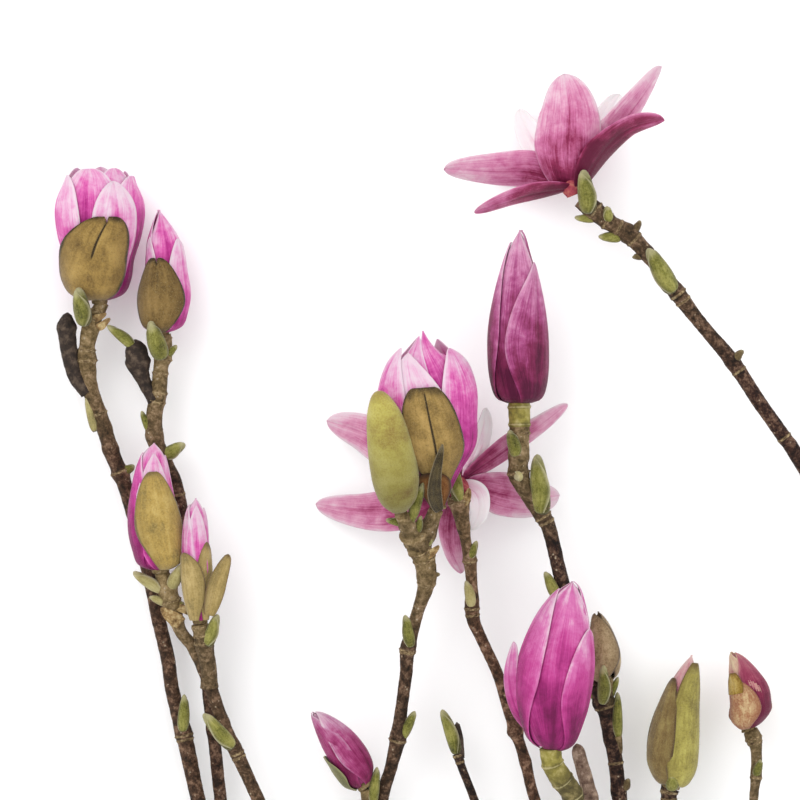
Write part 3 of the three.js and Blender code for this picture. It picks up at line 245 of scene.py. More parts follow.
BLOOMS = {
    "A": dict(root=(-151, 50, 22), tip=(-151.5, 116, 21), girth=(4, 12.4, 16, 17.6, 21.6, 22.6, 17),
        depth=0.95, ease=0.6, blunt=False, tepals=[tepal(178, 62, 1.03, -3.2, 4),
        tepal(-128, 58, 1.02, -2.4, 4), tepal(118, 58, 0.99, -2.4, 4),
        tepal(-17, 54, 0.995, -2, 7, 0.14, top=0.2, wave=0.5, keel=1),
        tepal(34, 50, 1, -2.4, 5.5, 0.1, top=0.08),
        tepal(-76, 54, 0.955, -0.4, 6, -0.06, flare=-1, top=0.1),
        tepal(76, 62, 0.945, -0.4, 5.5, 0.14, top=0.1, wave=0.5),
        tepal(26, 36, 0.9, -0.5, 4.6, -0.1, wave=0.4), tepal(170, 66, 0.92, -0.6)],
        scales=[tepal(-28, 74, 0.625, 1.5, 1.4, flare=-1, top=0.16, notch=0.05, twist=40, tilt=-1.2,
            seam=(0.38, 1), edge=0.9, root=0.9)]),
    "B": dict(root=(-120, 34, 24), tip=(-121, 95.5, 26), girth=(4, 10.2, 12, 12.8, 10.8, 9, 3.6),
        bow=(2.5, 0, 0), depth=0.95, ease=0.6, tepals=[tepal(175, 95, 1, -1.3, 8),
        tepal(-100, 60, 1, -1, 6, 0.3), tepal(14, 74, 1, -0.9, 6, 0.14, keel=0.7),
        tepal(-56, 44, 0.78, -0.5, 3, -0.1), tepal(62, 56, 0.765, -0.1, 4, -0.12)],
        scales=[tepal(-12, 66, 0.61, 1.1, 2.1, top=0.2, notch=0.05, twist=-8, edge=0.5)]),
    "C1": dict(root=(-120, -85, 37), tip=(-123, -21.5, 37), girth=(4.4, 10.8, 12.4, 13.4, 12.3, 9.6, 6.4),
        bow=(-2.5, 0, 0), depth=0.9, ease=0.6, tepals=[tepal(180, 95, 1, -1, 8),
        tepal(0, 90, 1, -1, 7, 0.1), tepal(84, 62, 0.9, -0.6, 4, 0.1), tepal(-76, 66, 0.93, -0.5, 4, 0.3),
        tepal(6, 56, 0.915, 0, 2.8)],
        scales=[tepal(28, 60, 0.775, 1.1, 2.5, top=0.18, twist=-24, edge=0.3)]),
    "C2": dict(root=(-100, -110, 42), tip=(-102, -49, 43), girth=(3.8, 5.4, 6.4, 6.9, 6.9, 6.2, 4.4),
        bow=(-1, 0, 0), ease=0.8, tepals=[tepal(180, 95, 1, -0.8, 8), tepal(0, 90, 1, -0.8, 7, 0.16),
        tepal(84, 60, 0.92, -0.4, 4), tepal(-66, 66, 0.95, -0.4, 4), tepal(6, 60, 0.94, 0, 2.8, -0.06)],
        scales=[tepal(-44, 82, 0.56, 1, 3.4), tepal(50, 56, 0.64, 0.5, 2.6)]),
    "D": dict(root=(19, -52.5, 58), tip=(12.5, 33, 63), girth=(4, 12, 22.5, 24.4, 24.8, 20.5, 11),
        bow=(-2, 0, 2), depth=0.78, blunt=False, tepals=[tepal(-158, 56, 0.98, -3),
        tepal(140, 58, 0.96, -3), tepal(178, 60, 0.88, -0.4), tepal(-24, 40, 0.99, -2.8, 3, 0.1, flare=-1),
        tepal(44, 40, 1.02, -2.2, 2.6, 0.24, flare=-2, skew=-0.95),
        tepal(-72, 52, 0.93, -0.8, 3.4, 0.06, skew=0.2),
        tepal(66, 52, 0.91, -0.2, 3.4, 0.08, skew=-0.3, edge=0.5),
        tepal(-4, 42, 0.9, -1, 3.2, -0.12, skew=-0.5)],
        scales=[tepal(13, 37, 0.7, 1.3, 2.8, top=0.34, edge=0.8, twist=-16, seam=(0.2, 0.97))]),
    "F": dict(root=(59.5, -1.5, 40), tip=(60, 85, 41), girth=(6, 11.2, 13.8, 15, 14.5, 10.8, 4.4),
        bow=(-1, 0, 0), depth=0.95, ease=0.5, tepals=[tepal(180, 95, 1, -1.1, 8),
        tepal(90, 70, 1, -0.8, 7, 0.3), tepal(-14, 84, 1, -0.9, 7, 0.06),
        tepal(-98, 60, 0.93, -0.2, 4, 0.16),
        tepal(42, 72, 0.815, 0.2, 2.9, 0.1, skew=0.5, keel=0.6, wave=0.4)]),
    "F2": dict(root=(103, -140.5, 34), tip=(98.5, -106, 36), girth=(4, 6.6, 7.8, 7.8, 6.8, 5.2, 3),
        bow=(1.5, 0, 0), ease=0.7, scales=[tepal(120, 125, 1, -0.5, 8), tepal(-50, 112, 0.985, 0.2, 6)]),
    "G": dict(root=(74.5, -173.5, 60), tip=(85.5, -90, 61), girth=(5.6, 11.5, 15.2, 18.3, 18.8, 14.9, 8),
        bow=(-3, 0, 1), depth=0.95, ease=0.6, tepals=[tepal(175, 95, 1, -1.1, 8),
        tepal(100, 60, 1, -0.9, 7, 0.1), tepal(6, 82, 1, -0.9, 6, 0.02, wave=1.1, keel=0),
        tepal(-92, 58, 0.95, -0.2, 3.4, 0.02, twist=34), tepal(70, 58, 0.74, 0.5, 2.9, 0.1, skew=-0.12)]),
    "I": dict(root=(-18, -193, 29), tip=(-44, -156.5, 31), girth=(4, 8, 9.4, 9.3, 8.2, 6, 3.4),
        bow=(1.5, 1, 0), ease=0.8, tepals=[tepal(170, 95, 1, -0.8, 8), tepal(-62, 84, 1, -0.5, 7, 0.1),
        tepal(50, 80, 0.985, 0.1, 5, -0.04)], scales=[tepal(-95, 62, 0.52, 1, 2.8)]),
    "J": dict(root=(136, -193.5, 26), tip=(146.5, -128, 27), girth=(4.6, 8, 11, 11.4, 10.2, 7.2, 3.4),
        bow=(-3, -0.5, 0), depth=0.95, ease=0.6, tepals=[tepal(180, 95, 1, -0.8, start=0.5),
        tepal(0, 95, 1, -0.6, 4, start=0.5)], scales=[tepal(175, 95, 0.88, 0.7),
        tepal(46, 64, 0.95, 1.4, 7, top=0.4, root=0.9),
        tepal(-66, 66, 0.82, 0.9, 3.2, top=0.1, twist=10, root=0.9)]),
    "K": dict(root=(175.2, -164.8, 24), tip=(166.5, -126.5, 25), girth=(3.6, 6.8, 10, 10.4, 9.8, 7, 3.4),
        bow=(4, 0, 0), ease=0.6, tepals=[tepal(175, 95, 1, -0.8, 8), tepal(-50, 86, 1, -0.6, 7, -0.1),
        tepal(50, 80, 0.985, 0, 5, 0.3)], scales=[tepal(-24, 52, 0.64, 1, 2.2, top=0.1),
        tepal(170, 76, 0.5, 1)]),
}
# A core is the form itself, drawn in by its lift and ended at a share of the length.
USUAL_LIFT, USUAL_TOP = -1.7, 0.985
CORE_LIFT = {"A": -3.6, "D": -3.8}
CORE_TOP = {"A": 0.86, "D": 0.9}
GREEN_BUD_D = dict(root=(0, -55, 68), tip=(-10.8, 4.5, 85), girth=(4, 9, 11.4, 11.8, 11, 8.9, 5.4),
    bow=(1, 0, 0), ease=0.75)
HEARTS = {
    "E": dict(root=(29.5, -46.5, 38.5), tip=(28, -38, 26), girth=(4.6, 5.6, 5, 3, 1), blunt=False),
    "L": dict(root=(88, 103, 31), tip=(82.5, 116, 31), girth=(4.4, 5.6, 5.2, 3.4, 1), blunt=False),
}
RUST_BLADE = tepal(-4, 54, 0.2, 2.1, 2.2, top=0.15, root=0.7)
TORN_BLADE = tepal(-42, 32, 0.76, 1.1, 2.0, top=0.4, start=0.5, root=0.8)
OPEN_BLOOMS = {
    "E": [
        blade([(26, -42, 33), (2, -29, 28), (-18, -17, 20), (-37, -10.5, 12)], (0.1, -0.2, 1), 12.5, -55,
            3),
        blade([(26, -46, 33), (2, -53, 26), (-16, -55.5, 17), (-42.5, -52.5, 8)], (0, 0.2, 1), 12.5, -55,
            3, shade=0.06),
        blade([(27, -48, 33), (25, -64, 29), (26.5, -77, 24), (31, -87, 19)], (-0.5, 0, 1), 8, -60),
        blade([(30, -42, 33), (38, -47, 34), (39.5, -56, 31), (35.5, -65, 28)], (0.3, 0, 1), 6.5, 50, 2.8,
            inner_up=True),
        blade([(31, -40, 33), (53, -25, 29), (70, -13, 27), (84, -2, 28)], (0.3, -0.5, 0.8), 7.5, -50),
        blade([(34, -42, 33), (52, -47.5, 26), (67, -50, 19), (80.5, -48, 12)], (0, -0.1, 1), 12, -55, 3,
            shade=-0.12),
        blade([(32, -38, 33), (38, -25, 33), (42, -12, 30), (43.5, -4, 28)], (0.8, 0.1, 0.7), 7, 40,
            inner_up=True),
        blade([(28, -38, 30), (22, -20, 22), (14, -4, 16), (8, 10, 13)], (0.2, 0.2, 1), 10, -40),
        blade([(29.5, -42.5, 31), (45, -48, 16), (58, -50, 6), (68, -50, 1.2)], (0, 0.1, 1), 6.5, -40),
    ],
    "L": [
        blade([(84, 107, 31), (67.5, 114, 31), (47, 114.5, 29), (22, 116, 25)], (0, -0.55, 0.85), 12, -60,
            3.2),
        blade([(85, 106, 34), (67.5, 103, 39), (52.5, 98.5, 43), (37, 94, 44)], (0, -0.85, 0.5), 9.5, -50,
            shade=0.28),
        blade([(85, 107, 34), (84, 125, 44), (84.5, 145, 47), (82, 163, 42)], (0, -0.05, 1), 18.5, -75,
            3.4, claw=0.5),
        blade([(88, 108, 30), (103, 127.5, 33), (118, 147.5, 32), (131.5, 167.5, 27)], (0.65, -0.45, 0.6),
            13, -55, shade=-0.06),
        blade([(90, 106, 34), (101, 123.5, 40), (115, 135.5, 44), (132, 140, 45)], (0.5, -0.65, 0.55), 12,
            -50, shade=0.46),
        blade([(84, 110, 28), (72.5, 122.5, 20), (63.5, 137.5, 14), (60, 146.5, 13)], (-0.4, 0.2, 0.9), 8,
            45, inner_up=True),
        blade([(87, 110, 28), (97.5, 130, 20), (106, 146, 13), (111, 154, 11)], (0.4, 0.2, 0.9), 8, 45,
            inner_up=True),
        blade([(85, 110, 27), (84, 125, 14), (82, 139, 5), (80, 150, 0.9)], (0, 0.4, 0.9), 13, 50,
            inner_up=True),
        blade([(84, 107, 28), (68, 112, 16), (56, 113.5, 6), (46, 114.5, 0.9)], (0, 0, 1), 6, 45,
            inner_up=True),
    ],
}
LOOSE_G = blade([(70, -169, 61), (58.5, -155, 62), (54, -137, 62), (56.5, -120, 62)], (-0.75, -0.1, 0.65),
        8, -75, 2.4)
OPEN_SCALE_C2 = blade([(-95.5, -107.5, 45), (-92.5, -95, 48), (-89, -85, 48), (-85.5, -77, 47)], (0.35, 0,
        0.95), 5.5, 70, 2.4, inner_up=True, claw=0.5)
INNER_SCALE_D = blade([(19.5, -55, 62), (17, -47, 69.5), (18, -35, 78), (21, -22, 82.5)], (0.2, 0, 1), 4.2,
        40, 1.7, inner_up=True, claw=0.5)
# The spine, the facing side, half the width and the bend of each papery bract.
PAPERY_BRACTS = [blade(*row, 1.8, claw=0.7) for row in (
    ([(-109.5, -111.5, 38), (-112.5, -109.5, 40.5), (-116, -107, 41.5), (-119.5, -104, 40)], (0, 0, 1),
        4.2, 70),
    ([(-112, -103, 37.5), (-108, -105, 39.5), (-105.5, -107, 40)], (0.2, 0.2, 1), 2.6, 60),
    ([(-152, 36, 26.5), (-149, 38, 27), (-145.5, 41, 26)], (0.2, -0.2, 1), 2.4, 60),
    ([(-154, 41, 26.5), (-151, 41.5, 27), (-147.5, 43.5, 26)], (0, 0, 1), 2.2, 60),
    ([(12, -78, 51), (16, -76, 53), (19.5, -72.5, 53)], (0, 0, 1), 2.4, 60),
    ([(31, -52, 44), (33.5, -48.5, 45.5), (34.5, -44, 45)], (0, 0, 1), 2.6, 60),
)]
NECKS = {
    "neck_F": [[59.8, -13.5, 40, 5.3], [59.7, -8, 40, 5.5], [59.5, -1, 40, 5.4]],
    "neck_G": [[87, -199, 47, 5.2], [84.5, -194, 51, 5.4], [80, -188, 55, 5.6], [76, -181, 58, 5.4],
               [74.6, -173, 60, 5.4]],
}
NECK_SCARS = {"neck_F": [(59.7, -12), (59.6, -4)], "neck_G": [(86, -196), (81, -189.5), (76, -181)]}
NECK_BROWN = {"neck_F": 0.0, "neck_G": 1.0}  # how brown the foot is

# ------------------------------------------------------------------ materials


def rgb(code, deepen=DEEPEN):
    """Linear colour of a #rrggbb code."""
    parts = [int(code[i:i + 2], 16) / 255 for i in (1, 3, 5)]
    linear = [part / 12.92 if part <= 0.04045 else ((part + 0.055) / 1.055) ** 2.4 for part in parts]
    return (*(deepen * part for part in linear), 1.0)


WIDE_STOPS = (0.3, 0.5, 0.7)  # where a noise turns from dark to middle to light
OLD_STOPS = (0.4, 0.5, 0.62)


class Paint:
    """Builds one node material step by step."""

    def __init__(self, name, roughness, **constants):
        self.material = bpy.data.materials.new(name)
        self.material.use_nodes = True
        self.tree = self.material.node_tree
        self.surface = self.tree.nodes["Principled BSDF"]
        for key, value in {"Roughness": roughness, **constants}.items():
            self.surface.inputs[key.replace("_", " ")].default_value = value

    def feed(self, socket, value):
        if isinstance(value, bpy.types.NodeSocket):
            self.tree.links.new(value, socket)
        else:
            socket.default_value = value

    def node(self, kind, settings=(), places=(), **named):
        """A new node, with its settings, and its inputs fed by place or by name."""
        made = self.tree.nodes.new("ShaderNode" + kind)
        for key, value in dict(settings).items():
            setattr(made, key, value)
        for place, value in enumerate(places):
            self.feed(made.inputs[place], value)
        for key, value in named.items():
            self.feed(made.inputs[key.replace("_", " ")], value)
        return made

    def leaf(self, scale, shift=(0, 0, 0)):
        """Coordinates across (X) and along (Y) a blade, scaled and then shifted."""
        uv = self.node("UVMap", {"uv_map": "leaf"}).outputs["UV"]
        return self.node("Mapping", Vector=uv, Scale=scale, Location=shift).outputs["Vector"]

    def across_along(self):
        """Across and along a blade, each from 0 to 1."""
        split = self.node("SeparateXYZ", Vector=self.leaf((1, 1, 1)))
        return split.outputs["X"], split.outputs["Y"]

    def tint(self, channel):
        colour = self.node("Attribute", {"attribute_name": "tint"}).outputs["Color"]
        return self.node("SeparateColor", Color=colour).outputs[channel]

    def place(self):
        return self.node("TexCoord").outputs["Object"]

    def noise(self, vector, scale, detail, rough, distortion=0.0):
        return self.node("TexNoise", Vector=vector, Scale=scale, Detail=detail, Roughness=rough,
                         Distortion=distortion).outputs["Fac"]

    def math(self, operation, a, b=0.0):
        return self.node("Math", {"operation": operation}, (a, b)).outputs["Value"]

    def plus(self, a, b):
        return self.math("ADD", a, b)

    def times(self, a, b):
        return self.math("MULTIPLY", a, b)

    def swing(self, value, share):
        """How far a value is from 0.5, times share."""
        return self.times(self.math("SUBTRACT", value, 0.5), share)

    def spread(self, value, low, high, to_low=0.0, to_high=1.0):
        """Smoothly maps low..high onto to_low..to_high."""
        return self.node("MapRange", {"interpolation_type": "SMOOTHSTEP"}, Value=value, From_Min=low,
                         From_Max=high, To_Min=to_low, To_Max=to_high).outputs["Result"]

    def ramp(self, value, codes, stops, deepen=DEEPEN):
        made = self.node("ValToRGB", Fac=value)
        band = made.color_ramp
        while len(band.elements) < len(stops):
            band.elements.new(0.5)
        for element, code, stop in zip(band.elements, codes, stops):
            element.position = stop
            element.color = rgb(code, deepen)
        return made.outputs["Color"]

    def mix(self, share, a, b):
        """Colour a where share is 0 and b where it is 1."""
        made = self.node("Mix", {"data_type": "RGBA"}, (share,))
        for place, colour in ((6, a), (7, b)):
            self.feed(made.inputs[place], rgb(colour) if isinstance(colour, str) else colour)
        return made.outputs[2]

    def bump(self, height, distance, strength=0.6):
        made = self.node("Bump", Height=height, Distance=distance, Strength=strength)
        self.feed(self.surface.inputs["Normal"], made.outputs["Normal"])

    def colour(self, value):
        self.feed(self.surface.inputs["Base Color"], value)
        return self.material


def tepal_paint(name, skin, seed, streaks=0.34, mottling=0.42, deepen=DEEPEN):
    """Petal skin. The tint attribute says how deep the colour is; streaks and mottling vary it."""
    paint = Paint(name, 0.5, Sheen_Weight=0.04, Sheen_Roughness=0.5, Subsurface_Weight=0.12,
                  Subsurface_Scale=0.0012, Subsurface_Radius=(1.0, 0.4, 0.5), Specular_IOR_Level=0.16)
    streak = paint.noise(paint.leaf((13.0, 1.6, 1.0), (seed, 0, 0)), 1.6, 5.0, 0.68, 0.9)
    fine = paint.noise(paint.leaf((64.0, 3.0, 1.0)), 1.4, 3.0, 0.6, 0.4)
    blotch = paint.noise(paint.place(), 120.0, 5.0, 0.68, 0.3)
    level = paint.tint("Red")
    for value, share in ((streak, streaks), (fine, 0.2), (blotch, mottling)):
        level = paint.plus(level, paint.swing(value, share * 2))
    paint.bump(paint.plus(fine, paint.times(streak, 0.8)), 0.0005)
    return paint.colour(paint.ramp(level, *skin, deepen))


def felt_paint(name, body, dark, light, rim, rim_width=0.12, seed=0.0, rim_share=0.92):
    """Felted bud scale: streaky ground, a rim of its own colour, painted shade that darkens it towards its
    sides, a near-black line painted along a split as the shade in it, and a soft sheen.
    """
    paint = Paint(name, 0.9, Sheen_Weight=0.2, Sheen_Roughness=0.5, Specular_IOR_Level=0.12)
    across, along_blade = paint.across_along()
    streak = paint.noise(paint.leaf((6.0, 1.6, 1.0), (seed, seed, 0)), 1.8, 5.0, 0.65, 0.5)
    grain = paint.noise(paint.place(), 1100.0, 3.0, 0.65)
    blotch = paint.noise(paint.place(), 95.0, 5.0, 0.62)
    level = paint.plus(paint.times(streak, 0.4), paint.times(blotch, 0.6))
    beside = paint.times(paint.math("ABSOLUTE", paint.math("SUBTRACT", across, 0.5)), 2.0)
    ragged = paint.swing(blotch, 0.3)
    outside = paint.math("MAXIMUM", paint.plus(beside, ragged), paint.plus(along_blade, ragged))
    skin = paint.ramp(level, (dark, body, light), (0.36, 0.5, 0.64))
    for value, low, high, share, colour in (
            # The third of these uses beside to darken the scale towards its sides with its dark colour:
            # painted shade for the scale's roundness round the bud.
            (grain, 0.4, 0.7, 0.35, light), (grain, 0.5, 0.3, 0.35, dark), (beside, 0.3, 1.0, 0.5, dark),
            (outside, 1.0 - rim_width, 1.0, rim_share, rim),
            # The tint's red channel marks a split in the scale, and the near-black brown mixed in along it
            # is painted shade in the split.
            (paint.tint("Red"), 0.15, 0.8, 0.92, "#2b2118")):
        skin = paint.mix(paint.spread(value, low, high, 0.0, share), skin, colour)
    paint.bump(paint.plus(grain, streak), 0.0005)
    return paint.colour(skin)


def bark_paint():
    """Dark young bark with pale lenticels, green near the buds and tan at the ring scars."""
    paint = Paint("bark", 0.7, Specular_IOR_Level=0.16)
    place = paint.place()
    blotch = paint.noise(place, 230.0, 6.0, 0.68, 0.3)
    grain = paint.noise(place, 700.0, 4.0, 0.62)
    level = paint.plus(paint.times(blotch, 0.7), paint.times(grain, 0.3))
    skin = paint.ramp(level, ("#0f0907", "#2b1c16", "#6f5644"), OLD_STOPS)
    red = paint.ramp(level, ("#22110d", "#57362b", "#a17b66"), OLD_STOPS)
    young = paint.ramp(level, ("#59482a", "#9c855a", "#cbb387"), (0.36, 0.5, 0.64))
    skin = paint.mix(paint.tint("Blue"), skin, red)
    skin = paint.mix(paint.tint("Red"), skin, young)
    cells = paint.node("TexVoronoi", {"feature": "F1"}, Vector=place, Scale=380.0).outputs["Distance"]
    dots = paint.times(paint.spread(cells, 0.14, 0.24, 0.85, 0.0), paint.spread(blotch, 0.51, 0.6))
    skin = paint.mix(dots, skin, "#cdbb9f")
    scar = paint.ramp(grain, ("#5a4732", "#a58d66", "#d9c499"), (0.35, 0.5, 0.66))
    skin = paint.mix(paint.times(paint.spread(paint.tint("Green"), 0.2, 0.8), 0.6), skin, scar)
    paint.bump(paint.plus(paint.times(dots, 0.6), paint.plus(grain, blotch)), 0.0009, 0.8)
    return paint.colour(skin)


def neck_paint():
    """A soft yellow-green flower stalk, browner at its foot, with pale ring scars."""
    paint = Paint("green_neck", 0.66, Specular_IOR_Level=0.22)
    _, along_stalk = paint.across_along()
    scar = paint.tint("Green")
    blotch = paint.noise(paint.place(), 230.0, 5.0, 0.62, 0.2)
    green = paint.ramp(blotch, ("#6d6530", "#9d9245", "#c4b876"), WIDE_STOPS)
    brown = paint.ramp(blotch, ("#3b331f", "#655a33", "#9c8d5c"), WIDE_STOPS)
    skin = paint.mix(paint.times(paint.spread(along_stalk, 0.85, 0.3), paint.tint("Blue")), green, brown)
    skin = paint.mix(paint.spread(scar, 0.05, 0.4, 0.0, 0.35), skin, "#4a4026")
    torn = paint.plus(scar, paint.swing(blotch, 1.6))
    skin = paint.mix(paint.spread(torn, 0.5, 1.1, 0.0, 0.7), skin, "#cabe8c")
    paint.bump(blotch, 0.0005, 0.7)
    return paint.colour(skin)


def plain_paint(name, scale, codes, stops, roughness=0.8):
    """A mottled surface in object space."""
    paint = Paint(name, roughness, Specular_IOR_Level=0.25)
    blotch = paint.noise(paint.place(), scale, 5.0, 0.62, 0.2)
    paint.bump(blotch, 0.0004)
    return paint.colour(paint.ramp(blotch, codes, stops))


BARK = bark_paint()
NECK = neck_paint()
DEAD = plain_paint("dead_bark", 260.0, ("#1d1713", "#3a2e27", "#6a5a4b"), WIDE_STOPS)
SCAR = plain_paint("ring_scar", 420.0, ("#42321f", "#80694a", "#c4ad80"), (0.34, 0.5, 0.64))
STUMP = plain_paint("stump_bark", 300.0, ("#59443a", "#8c7261", "#bda48f"), (0.34, 0.5, 0.66))
CUT_WOOD = plain_paint("cut_wood", 300.0, ("#b59a68", "#d8c494", "#ead9b4"), WIDE_STOPS)
HEART_RED = plain_paint("flower_heart", 400.0, ("#96304a", "#bb545c", "#d08a72"), WIDE_STOPS)
PAPERY = plain_paint("papery_bract", 420.0, ("#6f5536", "#a58657", "#d6bf8c"), (0.34, 0.5, 0.66))
HAIR = plain_paint("pale_hair", 300.0, ("#9b8c5c", "#cfc498"), (0.4, 0.6), 0.7)
OLD_WOOD = {"stubA": DEAD, "stubB": DEAD, "stubH": DEAD, "stumpM": STUMP}  # each ends in a dome

# Petal skins from the palest to the deepest colour, and the depths of those colours.
EVEN = (0.0, 0.25, 0.5, 0.75, 1.0)
PINK = ("#fadfee", "#f5b6dc", "#e868b8", "#c43593", "#8a1260"), (0.0, 0.22, 0.46, 0.7, 1.0)
TEPAL_SKINS = {
    "A": PINK, "B": PINK, "C1": PINK, "C2": PINK, "D": PINK,
    "E": (("#fae0ec", "#f1b2cf", "#d97da8", "#a83a6a", "#6e123f"), EVEN),
    "F": (("#f2c4dc", "#e095be", "#b4508a", "#852452", "#5a0d36"), EVEN),
    "G": (("#f8d3e7", "#e57fbd", "#cd4698", "#a32573", "#740f4e"), EVEN),
    "I": (("#efcfde", "#cf8db2", "#b0487f", "#8c1f58", "#640f3c"), EVEN),
    "J": (("#f3d3cf", "#df9aa2", "#c26d80", "#a04c62"), (0.0, 0.4, 0.8, 1.0)),
    "K": (("#e9d3ae", "#d39f93", "#b45f74", "#983355", "#6f173a"), EVEN),
    "L": (("#f9dbe8", "#eda8c9", "#d573a4", "#9c2e5b", "#6a1038"), EVEN),
}
INNER_SKIN = ("#fffdfd", "#fbedf2", "#f0c6da", "#cf78a6"), (0.0, 0.5, 0.8, 1.0)
MOTTLED = {"G": (0.16, 0.34)}  # streaks and mottling that differ from the rest
# Felt: the ground, its dark and its light parts, and the rim.
SCALE_SKINS = {
    "A": ("#9f8146", "#6f562f", "#c2a15d", "#31251a"),
    "B": ("#83693c", "#594425", "#a1834f", "#2c2016"),
    "C1": ("#bd9e54", "#8a7644", "#dabf76", "#71603f"),
    "C2": ("#b0985d", "#857447", "#d0b77c", "#7d6442"),
    "D": ("#a2854b", "#6f5832", "#c6a464", "#352a1e"),
    "F2": ("#a58d66", "#735b46", "#d5bd95", "#4a3830"),
    "I": ("#868455", "#63623c", "#a5a277", "#a19f72"),
    "J": ("#a79c4e", "#7b6d3a", "#cdc46c", "#6a5435"),
    "J_3": ("#8d7548", "#66512f", "#b3a265", "#57422c"),
    "K": ("#b4805a", "#8f5140", "#e6cd9c", "#9c5f48"),
}
DARK_SCALE = ("#463c26", "#241d14", "#6b5c3a", "#98896a")
TORN_SCALE = ("#a98834", "#74561f", "#dcc47a", "#7a5a28")
RUST_SCALE = ("#8a5628", "#5c3617", "#b88850", "#43301f")
GREEN_SKIN = ("#d3c663", "#a98b48", "#ebe184", "#a3904f")
BUD_SKINS = {
    "green": ("#7d7c36", "#45451b", "#b0ab5f", "#c9c295"),
    "brown": ("#6f5d3d", "#4c3d29", "#8d7b55", "#9f916a"),
    "pale": ("#b3a76b", "#8a7e50", "#cdc28f", "#cfc59c"),
}
TEPAL_SLOTS = {"E": "tepal_dusty", "F": "tepal_dusty", "L": "tepal_dusty", "G": "tepal_magenta",
               "I": "tepal_magenta", "K": "tepal_magenta"}  # the others are tepal_pink
SCALE_SLOTS = {"I": "green_fur", "J": "green_fur", "K": "cream_scale"}  # the others are brown_fur
SCALE_NODES = {"J": 3, "K": 2}  # how many solids hold a bloom's scales, where it isn't one

# ------------------------------------------------------------------ meshes from grids of points


class Body:
    """Collects faces of one piece, then becomes a Blender object."""

    def __init__(self):
        self.points, self.uv, self.tint, self.faces, self.paint = [], [], [], [], []
        self.count = 0

    def add(self, points, face_sets, uv=None, tint=None, paints=(0, 0, 0)):
        """Adds points and sets of faces that number them from 0; each set has a paint of its own."""
        total = len(points)
        self.points.append(points)
        self.uv.append(np.zeros((total, 2)) if uv is None else uv)
        self.tint.append(np.zeros((total, 3)) if tint is None else tint)
        for faces, paint in zip(face_sets, paints):
            self.faces.extend((faces + self.count).tolist())
            self.paint.extend([paint] * len(faces))
        self.count += total

    def build(self, name, materials, nodes, slot, smooth=True):
        mesh = bpy.data.meshes.new(name)
        points = (np.concatenate(self.points) - ORIGIN) * MM
        points[:, 2] = np.maximum(points[:, 2], 0.0)
        mesh.from_pydata(points.tolist(), [], self.faces)
        corner = np.empty(len(mesh.loops), int)
        mesh.loops.foreach_get("vertex_index", corner)
        layer = mesh.uv_layers.new(name="leaf")
        layer.data.foreach_set("uv", np.concatenate(self.uv)[corner].ravel())
        tint = mesh.color_attributes.new("tint", "FLOAT_COLOR", "POINT")
        colours = np.ones((self.count, 4))
        colours[:, :3] = np.concatenate(self.tint)
        tint.data.foreach_set("color", colours.ravel())
        mesh.polygons.foreach_set("material_index", self.paint)
        mesh.polygons.foreach_set("use_smooth", np.full(len(self.faces), smooth))
        for material in materials:
            mesh.materials.append(material)
        mesh.update()
        piece = bpy.data.objects.new(name, mesh)
        bpy.context.scene.collection.objects.link(piece)
        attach(piece, "root")
        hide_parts(*nodes)
        return piece


def make(name, materials, nodes, slot, add, *shape, **more):
    """One piece whose whole shape one call of add makes."""
    body = Body()
    add(body, *shape, **more)
    return body.build(name, materials, nodes, slot)


def quads(rows, columns, close_rows=False, close_columns=False):
    """Faces between neighbours in a grid of points, which may close on itself."""
    i, j = np.meshgrid(np.arange(rows - (not close_rows)), np.arange(columns - (not close_columns)),
                       indexing="ij")
    below, beside = (i + 1) % rows, (j + 1) % columns
    corners = i * columns + j, i * columns + beside, below * columns + beside, below * columns + j
    return np.stack([corner.ravel() for corner in corners], axis=1)


def add_sheet(body, front, back, uv, tint, paints=(0, 0, 0)):
    """A closed thin sheet between two grids of points; the rim joins them."""
    rows, columns = front.shape[:2]
    size = rows * columns
    outer = quads(rows, columns)
    top = np.arange(columns)
    loop = np.concatenate([top, np.arange(1, rows) * columns + columns - 1,
                           (rows - 1) * columns + top[-2::-1], np.arange(rows - 2, 0, -1) * columns])
    ahead = np.roll(loop, -1)
    rim = np.stack([ahead, loop, loop + size, ahead + size], axis=1)
    points = np.concatenate([front.reshape(-1, 3), back.reshape(-1, 3)])
    inner = outer[:, ::-1] + size
    body.add(points, (outer, inner, rim), np.tile(uv, (2, 1)), np.tile(tint, (2, 1)), paints)


def add_loft(body, rings, share, tint):
    """A closed body through rings of points, with a middle point at each end."""
    count, sides = rings.shape[:2]
    total = count * sides
    points = np.concatenate([rings.reshape(-1, 3), [rings[0].mean(axis=0), rings[-1].mean(axis=0)]])
    level = np.concatenate([np.repeat(share, sides), share[[0, -1]]])
    shades = np.concatenate([np.repeat(tint, sides, axis=0), tint[[0, -1]]])
    around = np.arange(sides)
    after = (around + 1) % sides
    tail = total - sides
    first_cap = np.stack([np.full(sides, total), after, around], axis=1)
    last_cap = np.stack([np.full(sides, total + 1), tail + around, tail + after], axis=1)
    body.add(points, (quads(count, sides, close_columns=True), first_cap, last_cap),
             np.stack([np.full(total + 2, 0.5), level], axis=1), shades)


